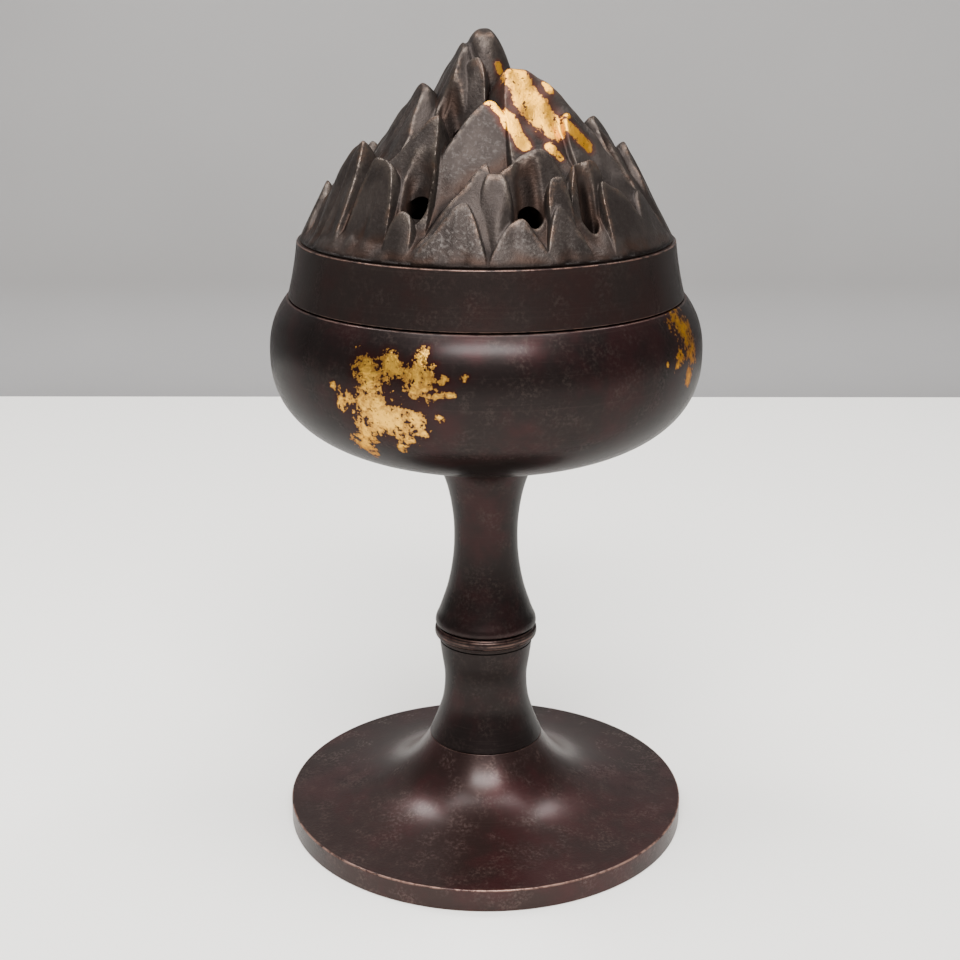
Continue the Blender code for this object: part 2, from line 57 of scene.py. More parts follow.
ON_AXIS = 1e-7
TINY = 1e-12
# how near the gold a spot is that is nowhere near it
OFF_GOLD = -2.0

Socket = bpy.types.NodeSocket
Outputs = bpy.types.bpy_prop_collection
Array = np.ndarray


class Body(Enum):
    """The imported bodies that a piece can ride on."""

    ROOT = "root"
    LINER = "liner"
    LID = "lid"


class Slot(Enum):
    """The record's material slots."""

    FOOT = "foot_bronze"
    DARK = "dark_bronze"
    HILL = "hill_bronze"
    COPPER = "copper"
    STEEL = "steel"
    BRASS = "brass"


class Turn(Enum):
    """How many facets a turned piece gets round its axis."""

    WIDE = 288
    SLIM = 192
    SMALL = 96


# ---------------------------------------------------------------- materials

def linear(code: str) -> tuple[float, float, float, float]:
    """Turn an sRGB hex colour to linear light.

    Args:
        code: The colour as #rrggbb.

    Returns:
        Red, green, blue and alpha.
    """
    parts = [int(code[start:start + 2], 16) / 255 for start in (1, 3, 5)]
    red, green, blue = (part / 12.92 if part <= 0.04045 else ((part + 0.055) / 1.055) ** 2.4
                        for part in parts)
    return red, green, blue, 1.0


@dataclass(frozen=True)
class Noise:
    """Fractal noise: its largest features in mm, its finer octaves, and how strong they are."""

    mm: float
    octaves: float = 3.0
    rough: float = 0.7

    def at(self, place: Socket) -> dict[str, Any]:
        """Return what draws this noise at some coordinates in metres."""
        return {"Vector": place, "Scale": 1.0 / (self.mm * MM), "Detail": self.octaves,
                "Roughness": self.rough}


@dataclass(frozen=True)
class Ramp:
    """A smooth rise from nothing at a low level to a top at a high level."""

    low: float
    high: float
    top: float = 1.0

    def over(self, value: Socket) -> dict[str, Any]:
        """Return what passes a value up this ramp."""
        return {"Value": value, "From Min": self.low, "From Max": self.high, "To Max": self.top}


# how a turned surface's rings wander up and down the piece
LATHE_SWAY = Noise(7.0, 1.0, 0.5)


class Recipe:
    """The nodes of one material while it is being built."""

    def __init__(self, name: str) -> None:
        """Make the empty material and find its coordinates.

        Args:
            name: The material's name.
        """
        self.material = bpy.data.materials.new(name)
        self.material.use_nodes = True
        self.tree = self.material.node_tree
        self.tree.nodes.clear()
        self.place = self.add("TexCoord")["Object"]

    def add(self, kind: str, inputs: dict[Any, Any] | None = None, **settings: Any) -> Outputs:
        """Add a node with its settings and links.

        Args:
            kind: The node's type name, without the ShaderNode it starts with.
            inputs: A value, a hex colour or an output to link, by the input's name or place.
            settings: The node's own properties by name.

        Returns:
            The node's outputs.
        """
        node = self.tree.nodes.new("ShaderNode" + kind)
        for name, value in settings.items():
            setattr(node, name, value)
        for place, value in (inputs or {}).items():
            if isinstance(value, Socket):
                self.tree.links.new(value, node.inputs[place])
            else:
                node.inputs[place].default_value = (
                    linear(value) if isinstance(value, str) else value)
        return node.outputs

    def patches(self, noise: Noise, ramp: Ramp) -> Socket:
        """Draw soft-edged patches.

        Args:
            noise: What their shapes come from.
            ramp: Where in the noise a patch starts and where it covers fully.

        Returns:
            The cover, from 0 to the ramp's top.
        """
        level = self.add("TexNoise", noise.at(self.place))[0]
        return self.add("MapRange", ramp.over(level), interpolation_type="SMOOTHSTEP")[0]

    def turning(self, rings: Noise, drift: float) -> Socket:
        """Draw the fine rings that a lathe and a polishing cloth leave round the axis.

        Args:
            rings: Their spacing and how uneven it is.
            drift: How far the rings wander, in mm.

        Returns:
            The rings, from 0 to 1 about 0.5.
        """
        flat = self.add("VectorMath", {0: self.place, 1: (1.0, 1.0, 0.0)}, operation="MULTIPLY")[0]
        radius = self.add("VectorMath", {0: flat}, operation="LENGTH")[1]
        height = self.add("SeparateXYZ", {0: self.place})[2]
        sway = self.add("TexNoise", LATHE_SWAY.at(self.place))[0]
        wander = self.add("Math", {0: sway, 1: drift * MM}, operation="MULTIPLY")[0]
        across = self.add("Math", {0: radius, 1: wander}, operation="ADD")[0]
        up = self.add("Math", {0: height, 1: wander}, operation="ADD")[0]
        spot = self.add("CombineXYZ", {0: across, 1: up})[0]
        return self.add("TexNoise", rings.at(spot))[0]


@dataclass(frozen=True)
class Gilding:
    """Fire gilding: gold splashed on hot bronze, then burnished where it stands proud.

    The eye gets a ragged pale gold with browner thin places, pitted through to the bronze, and a
    dark red margin where the amalgam burnt the patina.
    """

    pale: str = "#e4ac3e"
    thin: str = "#9a6c2e"
    margin: str = "#2a0d0a"
    rags: Noise = Noise(5.0, rough=0.6)
    rag_share: float = 2.6
    flecks: Noise = Noise(1.0, rough=0.65)
    fleck_share: float = 2.4
    pits: Noise = Noise(1.3)
    pit_ramp: Ramp = Ramp(0.60, 0.66)
    cover: float = 0.25
    edge: float = 0.07
    deepening: float = 0.9
    burn: Ramp = Ramp(-0.6, 0.3, 0.6)
    roughness: float = 0.36
    crumb_mm: float = 0.22

    def mask(self, recipe: Recipe) -> tuple[Socket, Socket, Socket, Socket]:
        """Work out where the gold and its margin are.

        Args:
            recipe: The bronze that is gilded.

        Returns:
            The gold's cover, the margin's cover, the gold's colour and the height of its crumbs.
        """
        add = recipe.add
        near = add("Attribute", attribute_name="gold")["Fac"]
        coarse = add("TexNoise", self.rags.at(recipe.place))[0]
        fine = add("TexNoise", self.flecks.at(recipe.place))[0]
        rag = add("Math", {0: coarse, 1: 0.5}, operation="SUBTRACT")[0]
        fleck = add("Math", {0: fine, 1: 0.5}, operation="SUBTRACT")[0]
        ragged = add("Math", {0: rag, 1: self.rag_share, 2: near}, operation="MULTIPLY_ADD")[0]
        flecked = add("Math", {0: fleck, 1: self.fleck_share, 2: ragged},
                      operation="MULTIPLY_ADD")[0]
        pits = recipe.patches(self.pits, self.pit_ramp)
        level = add("Math", {0: flecked, 1: pits}, operation="SUBTRACT")[0]
        edge = Ramp(self.cover, self.cover + self.edge)
        cover = add("MapRange", edge.over(level), interpolation_type="SMOOTHSTEP")[0]
        burnt = add("Math", {0: near, 1: rag}, operation="ADD")[0]
        margin = add("MapRange", self.burn.over(burnt), interpolation_type="SMOOTHSTEP")[0]
        body = Ramp(self.cover, self.cover + self.deepening)
        depth = add("MapRange", body.over(level), interpolation_type="SMOOTHSTEP")[0]
        colour = add("Mix", {0: depth, 6: self.thin, 7: self.pale}, data_type="RGBA")[2]
        crumbs = add("Math", {0: fine, 1: cover}, operation="MULTIPLY")[0]
        return cover, margin, colour, crumbs


@dataclass(frozen=True)
class PatinatedBronze:
    """Cast tin bronze, turned, browned with a hot chemical patina and rubbed with wax.

    The eye gets a deep purple-brown with redder clouds, a satin gloss that is broken by fine
    turning rings, pale dust in the low places, and copper where an edge has been handled. The
    patina soaks up light that grazes it, so the metal's edge tint is dark.
    """

    name: str
    body: str = "#1f1918"
    red: str = "#2a1919"
    haze: str = "#413733"
    worn: str = "#84665a"
    edge_tint: str = "#4c3c37"
    clouds: Noise = Noise(16.0, 4.0, 0.6)
    cloud_ramp: Ramp = Ramp(0.44, 0.66)
    dust: Noise = Noise(6.4, rough=0.55)
    dust_ramp: Ramp = Ramp(0.4, 0.7, 0.45)
    # the grit of the mould is 0.2 mm; it is drawn at 0.8 mm so that it shows
    grain: Noise = Noise(0.8)
    mote_ramp: Ramp = Ramp(0.42, 0.72)
    grain_height: float = 0.035
    # the lathe's feed was about 0.1 mm; its rings are drawn at 0.55 mm so that they show
    rings: Noise = Noise(0.55, 2.0, 0.6)
    ring_drift: float = 0.6
    ring_ramp: Ramp = Ramp(0.55, 0.8, 0.16)
    ring_height: float = 0.012
    rubs: Noise = Noise(2.4, 4.0)
    rub_ramp: Ramp = Ramp(0.36, 0.6)
    roughness: float = 0.36
    grain_swing: float = 0.16
    ring_swing: float = 0.08
    metallic: float = 0.7
    gloss: float = 0.3
    wax: float = 0.15
    wax_roughness: float = 0.24
    gilding: Gilding | None = None

    def make(self) -> bpy.types.Material:
        """Build the finish.

        Returns:
            The material.
        """
        recipe = Recipe(self.name)
        add = recipe.add
        grain = add("TexNoise", self.grain.at(recipe.place))[0]
        rings = recipe.turning(self.rings, self.ring_drift)
        clouds = recipe.patches(self.clouds, self.cloud_ramp)
        colour = add("Mix", {0: clouds, 6: self.body, 7: self.red}, data_type="RGBA")[2]
        dust = add("Math", {0: recipe.patches(self.dust, self.dust_ramp),
                            1: recipe.patches(self.grain, self.mote_ramp)},
                   operation="MULTIPLY")[0]
        colour = add("Mix", {0: dust, 6: colour, 7: self.haze}, data_type="RGBA")[2]
        polish = add("MapRange", self.ring_ramp.over(rings), interpolation_type="SMOOTHSTEP")[0]
        colour = add("Mix", {0: polish, 6: colour, 7: self.haze}, data_type="RGBA")[2]
        rub = add("Math", {0: add("Attribute", attribute_name="wear")["Fac"],
                           1: recipe.patches(self.rubs, self.rub_ramp)}, operation="MULTIPLY")[0]
        colour = add("Mix", {0: rub, 6: colour, 7: self.worn}, data_type="RGBA")[2]
        rough = add("Math", {0: grain, 1: self.grain_swing,
                             2: self.roughness - self.grain_swing / 2},
                    operation="MULTIPLY_ADD")[0]
        rough = add("Math", {0: rings, 1: self.ring_swing, 2: rough},
                    operation="MULTIPLY_ADD")[0]
        metal: Any = self.metallic
        normal = add("Bump", {"Height": grain, "Distance": self.grain_height * MM})[0]
        normal = add("Bump", {"Height": rings, "Distance": self.ring_height * MM,
                              "Normal": normal})[0]
        if self.gilding:
            cover, margin, gold, crumbs = self.gilding.mask(recipe)
            colour = add("Mix", {0: margin, 6: colour, 7: self.gilding.margin},
                         data_type="RGBA")[2]
            colour = add("Mix", {0: cover, 6: colour, 7: gold}, data_type="RGBA")[2]
            metal = add("Math", {0: cover, 1: self.metallic}, operation="MAXIMUM")[0]
            rough = add("Mix", {0: cover, 2: rough, 3: self.gilding.roughness})[0]
            normal = add("Bump", {"Height": crumbs, "Distance": self.gilding.crumb_mm * MM,
                                  "Normal": normal})[0]
        shader = add("BsdfPrincipled", {
            "Base Color": colour, "Metallic": metal, "Roughness": rough, "Normal": normal,
            "Specular IOR Level": self.gloss, "Specular Tint": self.edge_tint,
            "Coat Weight": self.wax, "Coat Roughness": self.wax_roughness})[0]
        add("OutputMaterial", {"Surface": shader})
        return recipe.material


@dataclass(frozen=True)
class MountainBronze:
    """Cast bronze left from the mould, chased by hand and darkened by smoke.

    The eye gets a dull grey-brown skin, paler grain on the faces, rubbed metal on every crest
    with copper at the tips, amber soot in the folds, and a near-black painted shade in the
    deepest folds, the chased hollows and the inside.
    """

    name: str = "smoked_cast_bronze"
    body: str = "#272220"
    pale: str = "#342e2b"
    grain: str = "#46413e"
    crest: str = "#595049"
    copper: str = "#5f4d42"
    soot: str = "#2e211b"
    # the near-black of the painted shade
    painted_shade: str = "#0c0807"
    edge_tint: str = "#8a7f79"
    clouds: Noise = Noise(9.0, 4.0, 0.6)
    cloud_ramp: Ramp = Ramp(0.38, 0.68)
    # the sand's grit is 0.2 mm; it is drawn at 0.75 and 1.5 mm so that it shows
    fine: Noise = Noise(0.75)
    fine_ramp: Ramp = Ramp(0.44, 0.66)
    fine_height: float = 0.07
    grit: Noise = Noise(1.5, 4.0, 0.75)
    grit_ramp: Ramp = Ramp(0.40, 0.64)
    grit_height: float = 0.06
    shadow_ramp: Ramp = Ramp(0.10, 0.55)
    amber: Noise = Noise(6.0, rough=0.55)
    amber_ramp: Ramp = Ramp(0.3, 0.6, 0.8)
    painted_shade_ramp: Ramp = Ramp(0.5, 1.0, 0.9)
    rubs: Noise = Noise(1.6, 4.0)
    rub_ramp: Ramp = Ramp(0.34, 0.62)
    tips: Noise = Noise(5.0, rough=0.55)
    tip_ramp: Ramp = Ramp(0.48, 0.62)
    roughness: float = 0.42
    fine_swing: float = 0.18
    rub_smoothing: float = -0.12
    metallic: float = 0.48
    rub_metallic: float = 0.4
    gloss: float = 0.4
    gilding: Gilding = Gilding(pale="#eeab36", thin="#c4843a", margin="#4a2015",
                               rags=Noise(4.0, rough=0.6), rag_share=0.8,
                               flecks=Noise(0.8, rough=0.65), fleck_share=0.7,
                               cover=0.12, deepening=0.3, crumb_mm=0.05)

    def make(self) -> bpy.types.Material:
        """Build the finish.

        Returns:
            The material.
        """
        recipe = Recipe(self.name)
        add = recipe.add
        fine = add("TexNoise", self.fine.at(recipe.place))[0]
        grit = add("TexNoise", self.grit.at(recipe.place))[0]
        clouds = recipe.patches(self.clouds, self.cloud_ramp)
        colour = add("Mix", {0: clouds, 6: self.body, 7: self.pale}, data_type="RGBA")[2]
        speckle = add("Math", {0: recipe.patches(self.grit, self.grit_ramp),
                               1: recipe.patches(self.fine, self.fine_ramp)},
                      operation="MULTIPLY")[0]
        speckle = add("Math", {0: speckle, 1: add("Attribute", attribute_name="grain")["Fac"]},
                      operation="MULTIPLY")[0]
        colour = add("Mix", {0: speckle, 6: colour, 7: self.grain}, data_type="RGBA")[2]
        # the recess layer carries soot and painted shade together
        fold = add("Attribute", attribute_name="recess")["Fac"]
        shadow = add("MapRange", self.shadow_ramp.over(fold),
                     interpolation_type="SMOOTHSTEP")[0]
        amber = add("Math", {0: shadow, 1: recipe.patches(self.amber, self.amber_ramp)},
                    operation="MULTIPLY")[0]
        colour = add("Mix", {0: amber, 6: colour, 7: self.soot}, data_type="RGBA")[2]
        # painted shade: near-black in the deepest folds, the hollows and the inside
        painted_shade_cover = add("MapRange", self.painted_shade_ramp.over(fold), interpolation_type="SMOOTHSTEP")[0]
        colour = add("Mix", {0: painted_shade_cover, 6: colour, 7: self.painted_shade}, data_type="RGBA")[2]
        ridge = add("Math", {0: add("Attribute", attribute_name="wear")["Fac"],
                             1: recipe.patches(self.rubs, self.rub_ramp)},
                    operation="MULTIPLY")[0]
        tint = add("Mix", {0: recipe.patches(self.tips, self.tip_ramp), 6: self.crest,
                           7: self.copper}, data_type="RGBA")[2]
        colour = add("Mix", {0: ridge, 6: colour, 7: tint}, data_type="RGBA")[2]
        cover, margin, gold, crumbs = self.gilding.mask(recipe)
        colour = add("Mix", {0: margin, 6: colour, 7: self.gilding.margin}, data_type="RGBA")[2]
        colour = add("Mix", {0: cover, 6: colour, 7: gold}, data_type="RGBA")[2]
        metal = add("Math", {0: ridge, 1: self.rub_metallic, 2: self.metallic},
                    operation="MULTIPLY_ADD")[0]
        metal = add("Math", {0: cover, 1: metal}, operation="MAXIMUM")[0]
        rough = add("Math", {0: fine, 1: self.fine_swing,
                             2: self.roughness - self.fine_swing / 2},
                    operation="MULTIPLY_ADD")[0]
        rough = add("Math", {0: ridge, 1: self.rub_smoothing, 2: rough},
                    operation="MULTIPLY_ADD")[0]
        rough = add("Mix", {0: cover, 2: rough, 3: self.gilding.roughness})[0]
        normal = add("Bump", {"Height": fine, "Distance": self.fine_height * MM})[0]
        normal = add("Bump", {"Height": grit, "Distance": self.grit_height * MM,
                              "Normal": normal})[0]
        normal = add("Bump", {"Height": crumbs, "Distance": self.gilding.crumb_mm * MM,
                              "Normal": normal})[0]
        shader = add("BsdfPrincipled", {
            "Base Color": colour, "Metallic": metal, "Roughness": rough, "Normal": normal,
            "Specular IOR Level": self.gloss, "Specular Tint": self.edge_tint})[0]
        add("OutputMaterial", {"Surface": shader})
        return recipe.material


@dataclass(frozen=True)
class MachinedMetal:
    """A bare metal turned on a lathe: spun copper, a drawn steel rod, or a milled brass nut.

    The eye gets an even metal with fine bright rings and a slightly tarnished cloud.
    """

    name: str
    body: str
    tarnish: str
    roughness: float
    clouds: Noise = Noise(5.0, 4.0, 0.6)
    cloud_ramp: Ramp = Ramp(0.42, 0.7)
    cloud_swing: float = 0.1
    # the lathe's feed was about 0.1 mm; its rings are drawn at 0.4 mm so that they show
    rings: Noise = Noise(0.4, 2.0, 0.6)
    ring_drift: float = 0.1
    ring_height: float = 0.01

    def make(self) -> bpy.types.Material:
        """Build the finish.

        Returns:
            The material.
        """
        recipe = Recipe(self.name)
        add = recipe.add
        rings = recipe.turning(self.rings, self.ring_drift)
        cloud = recipe.patches(self.clouds, self.cloud_ramp)
        colour = add("Mix", {0: cloud, 6: self.body, 7: self.tarnish}, data_type="RGBA")[2]
        rough = add("Math", {0: cloud, 1: self.cloud_swing, 2: self.roughness},
                    operation="MULTIPLY_ADD")[0]
        normal = add("Bump", {"Height": rings, "Distance": self.ring_height * MM})[0]
        shader = add("BsdfPrincipled", {"Base Color": colour, "Metallic": 1.0,
                                        "Roughness": rough, "Normal": normal})[0]
        add("OutputMaterial", {"Surface": shader})
        return recipe.material


@dataclass(frozen=True)
class StudioPaper:
    """Matt paper for the floor and the backdrop, with no pattern the eye can find."""

    name: str
    tone: str
    drifts: Noise = Noise(260.0, rough=0.55)
    drift_ramp: Ramp = Ramp(0.3, 0.7, 0.03)
    roughness: float = 0.8

    def make(self) -> bpy.types.Material:
        """Build the paper.

        Returns:
            The material.
        """
        recipe = Recipe(self.name)
        drift = recipe.patches(self.drifts, self.drift_ramp)
        colour = recipe.add("Mix", {0: drift, 6: self.tone, 7: "#ffffff"}, data_type="RGBA")[2]
        shader = recipe.add("BsdfPrincipled", {"Base Color": colour,
                                               "Roughness": self.roughness})[0]
        recipe.add("OutputMaterial", {"Surface": shader})
        return recipe.material


# ---------------------------------------------------------------- meshes

@dataclass(frozen=True)
class Corner:
    """One point of a turned profile.

    ease is how far back on both sides its rounding starts, and wear how rubbed its edge is.
    """

    radius: float
    height: float
    ease: float = 0.0
    wear: float = 0.0


def eased(corners: Sequence[Corner], steps: int = 5) -> list[Corner]:
    """Round the corners of a profile.

    Args:
        corners: The profile's points in order.
        steps: How many spans each rounding gets.

    Returns:
        The finer profile, with the wear only on the roundings.
    """
    # a guard beside each rounding, half as far out again, keeps the flat next to it flat
    guard = 1.5
    points: list[Corner] = []
    for index, corner in enumerate(corners):
        if not corner.ease:
            points.append(corner)
            continue
        here = np.array((corner.radius, corner.height))
        sides = []
        for other in (corners[index - 1], corners[(index + 1) % len(corners)]):
            way = np.array((other.radius, other.height)) - here
            sides.append(way / np.linalg.norm(way) * corner.ease)
        first, last = here + sides[0], here + sides[1]
        guards = [here + side * guard for side in sides]
        points.append(Corner(*guards[0]))
        for step in range(steps + 1):
            share = step / steps
            spot = (first * (1 - share) ** 2 + here * 2 * share * (1 - share)
                    + last * share ** 2)
            points.append(Corner(spot[0], spot[1], 0.0, corner.wear * math.sin(math.pi * share)))
        points.append(Corner(*guards[1]))
    return points


def curve_through(points: Sequence[tuple[float, float]], steps: int) -> list[Corner]:
    """Run a smooth curve through points.

    Args:
        points: Radius and height of each point.
        steps: How many spans lie between two points.

    Returns:
        The curve's points, both ends included.
    """
    ends = [points[0], *points, points[-1]]
    curve = []
    for before, start, end, after in zip(ends, ends[1:], ends[2:], ends[3:]):
        for step in range(steps):
            t = step / steps
            curve.append(Corner(*(
                0.5 * (2 * b + (c - a) * t + (2 * a - 5 * b + 4 * c - d) * t ** 2
                       + (3 * b - a - 3 * c + d) * t ** 3)
                for a, b, c, d in zip(before, start, end, after))))
    return [*curve, Corner(*points[-1])]


def paint(mesh: bpy.types.Mesh, layer: str, values: Array) -> None:
    """Leave one value per vertex on a mesh for its material."""
    mesh.attributes.new(layer, "FLOAT", "POINT").data.foreach_set(
        "value", np.asarray(values, np.float32))


def vertices_of(mesh: bpy.types.Mesh) -> Array:
    """Read where a mesh's vertices are.

    Args:
        mesh: The mesh.

    Returns:
        Rows of x, y and z.
    """
    spots = np.empty(len(mesh.vertices) * 3, np.float32)
    mesh.vertices.foreach_get("co", spots)
    return spots.reshape(-1, 3).astype(float)


def shade(mesh: bpy.types.Mesh, degrees: float) -> None:
    """Shade a mesh smooth, with an edge left sharp where it turns by more than an angle."""
    mesh.polygons.foreach_set("use_smooth", [True] * len(mesh.polygons))
    mesh.set_sharp_from_angle(angle=math.radians(degrees))


def make_object(name: str, mesh: bpy.types.Mesh) -> bpy.types.Object:
    """Put a mesh in the scene as an object.

    Args:
        name: The object's name.
        mesh: Its mesh.

    Returns:
        The object.
    """
    piece = bpy.data.objects.new(name, mesh)
    bpy.context.scene.collection.objects.link(piece)
    return piece


def turned(name: str, profile: Sequence[Corner], turn: Turn, closed: bool = True,
           crease: float = 32.0) -> bpy.types.Object:
    """Turn a profile about the burner's axis.

    Args:
        name: The new object's name.
        profile: The profile's points, in order.
        turn: How many facets the piece gets.
        closed: Whether the last point joins the first. A profile that ends on the axis is open.
        crease: The angle in degrees above which an edge is shaded sharp.

    Returns:
        The turned object, with its wear on its vertices.
    """
    count = turn.value
    angles = np.arange(count) * 2 * math.pi / count
    spots, wear, rings = [], [], []
    for corner in profile:
        if corner.radius < ON_AXIS:
            rings.append([len(spots)] * count)
            spots.append((0.0, 0.0, corner.height))
            wear.append(corner.wear)
            continue
        rings.append(list(range(len(spots), len(spots) + count)))
        spots += [(corner.radius * math.cos(angle), corner.radius * math.sin(angle),
                   corner.height) for angle in angles]
        wear += [corner.wear] * count
    faces = []
    pairs = list(zip(rings, rings[1:])) + ([(rings[-1], rings[0])] if closed else [])
    for lower, upper in pairs:
        for here in range(count):
            after = (here + 1) % count
            loop = [lower[here], lower[after], upper[after], upper[here]]
            faces.append([spot for place, spot in enumerate(loop) if spot not in loop[:place]])
    mesh = bpy.data.meshes.new(name)
    mesh.from_pydata(spots, [], [face for face in faces if len(face) > 2])
    shape = bmesh.new()
    shape.from_mesh(mesh)
    bmesh.ops.recalc_face_normals(shape, faces=shape.faces)
    shape.to_mesh(mesh)
    shape.free()
    paint(mesh, "wear", np.array(wear))
    shade(mesh, crease)
    return make_object(name, mesh)


class Cut(Enum):
    """What a second solid does to a first."""

    AWAY = "DIFFERENCE"
    COMMON = "INTERSECT"


def carve(piece: bpy.types.Object, tools: Sequence[bpy.types.Object], cut: Cut) -> None:
    """Cut a piece with other solids, apply it, and take the tools away.

    Args:
        piece: The solid that is cut.
        tools: The solids that cut it.
        cut: What they do to it.
    """
    for tool in tools:
        step = piece.modifiers.new(tool.name, "BOOLEAN")
        step.operation = cut.value
        step.solver = "MANIFOLD"
        step.object = tool
    shown = piece.evaluated_get(bpy.context.evaluated_depsgraph_get())
    mesh = bpy.data.meshes.new_from_object(shown)
    mesh.name = piece.name
    piece.modifiers.clear()
    piece.data = mesh
    for tool in tools:
        bpy.data.objects.remove(tool, do_unlink=True)


def dress(piece: bpy.types.Object, material: bpy.types.Material, body: Body, slot: Slot,
          *nodes: str) -> None:
    """Give a piece its material and its body, and hide the CAD nodes it stands for.

    Args:
        piece: The visual piece.
        material: Its finish.
        body: The body it rides on.
        slot: The record's slot for its finish; not used.
        nodes: The CAD nodes it stands for.
    """
    piece.data.materials.clear()
    piece.data.materials.append(material)
    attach(piece, body.value)
    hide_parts(*nodes)
    LOG.info("%s: %d faces on %s", piece.name, len(piece.data.polygons), body.value)


def span(node: str) -> tuple[float, float, float]:
    """Return a node's lowest height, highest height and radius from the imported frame."""
    low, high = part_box(node)
    return low.z, high.z, (high.x - low.x) / 2


@dataclass(frozen=True)
class Stroke:
    """One stroke of splashed gold, from a start to an end, both in metres."""

    start: Vector
    end: Vector
    reach: float


def closeness(spots: Array, strokes: Sequence[Stroke]) -> Array:
    """Measure how near each spot is to any stroke.

    Args:
        spots: Rows of x, y and z.
        strokes: The strokes of gold.

    Returns:
        1 on a stroke's line, 0 at its reach, and down to -2 beyond.
    """
    best = np.full(len(spots), OFF_GOLD)
    for stroke in strokes:
        start, line = np.array(stroke.start), np.array(stroke.end - stroke.start)
        along = np.clip((spots - start) @ line / max(line @ line, TINY), 0.0, 1.0)
        away = np.linalg.norm(spots - start - along[:, None] * line, axis=1)
        best = np.maximum(best, 1.0 - away / stroke.reach)
    return best


# ---------------------------------------------------------------- foot and stem

@dataclass
class Foot:
    """The round foot: a flat rim, a slightly domed top, and a flare up to the stem."""

    edge: float = 5.33 * MM
    slope: float = 0.03
    flare_rise: float = 15.3 * MM
    flare_spread: float = 8.7 * MM
    neck: float = 14.2 * MM
    rim_width: float = 6.0 * MM
    recess: float = 2.4 * MM
    pocket: float = 8.8 * MM
    pocket_roof: float = 9.0 * MM
    bore: float = 3.4 * MM
    rim_ease: float = 0.42 * MM

    def profile(self) -> list[Corner]:
        """Draw the foot's profile, from the neck out, round the rim and in underneath.

        Returns:
            The profile's corners.
        """
        low, high, radius = span("foot")
        steps = 64
        crowding = 1.5
        top = []
        for step in range(steps):
            out = self.neck + (radius - self.neck) * (step / steps) ** crowding
            rise = self.flare_rise * math.exp((self.neck - out) / self.flare_spread)
            top.append(Corner(out, low + self.edge + self.slope * (radius - out) + rise))
        inner = radius - self.rim_width
        rim_top = low + self.edge + self.flare_rise * math.exp(
            (self.neck - radius) / self.flare_spread)
        return eased([
            Corner(top[0].radius, high, 0.12 * MM, 0.25), *top[1:],
            Corner(radius, rim_top, self.rim_ease, 1.0),
            Corner(radius, low, 0.35 * MM, 0.5), Corner(inner, low, 0.3 * MM, 0.3),
            Corner(inner, low + self.recess, 0.8 * MM),
            Corner(self.pocket, low + self.recess, 0.3 * MM),
            Corner(self.pocket, self.pocket_roof, 0.3 * MM), Corner(self.bore, self.pocket_roof),
            Corner(self.bore, high)])

    def build(self, finish: PatinatedBronze) -> None:
        """Turn the foot and dress it."""
        piece = turned("foot_dish", self.profile(), Turn.WIDE)
        dress(piece, finish.make(), Body.ROOT, Slot.FOOT, "foot")


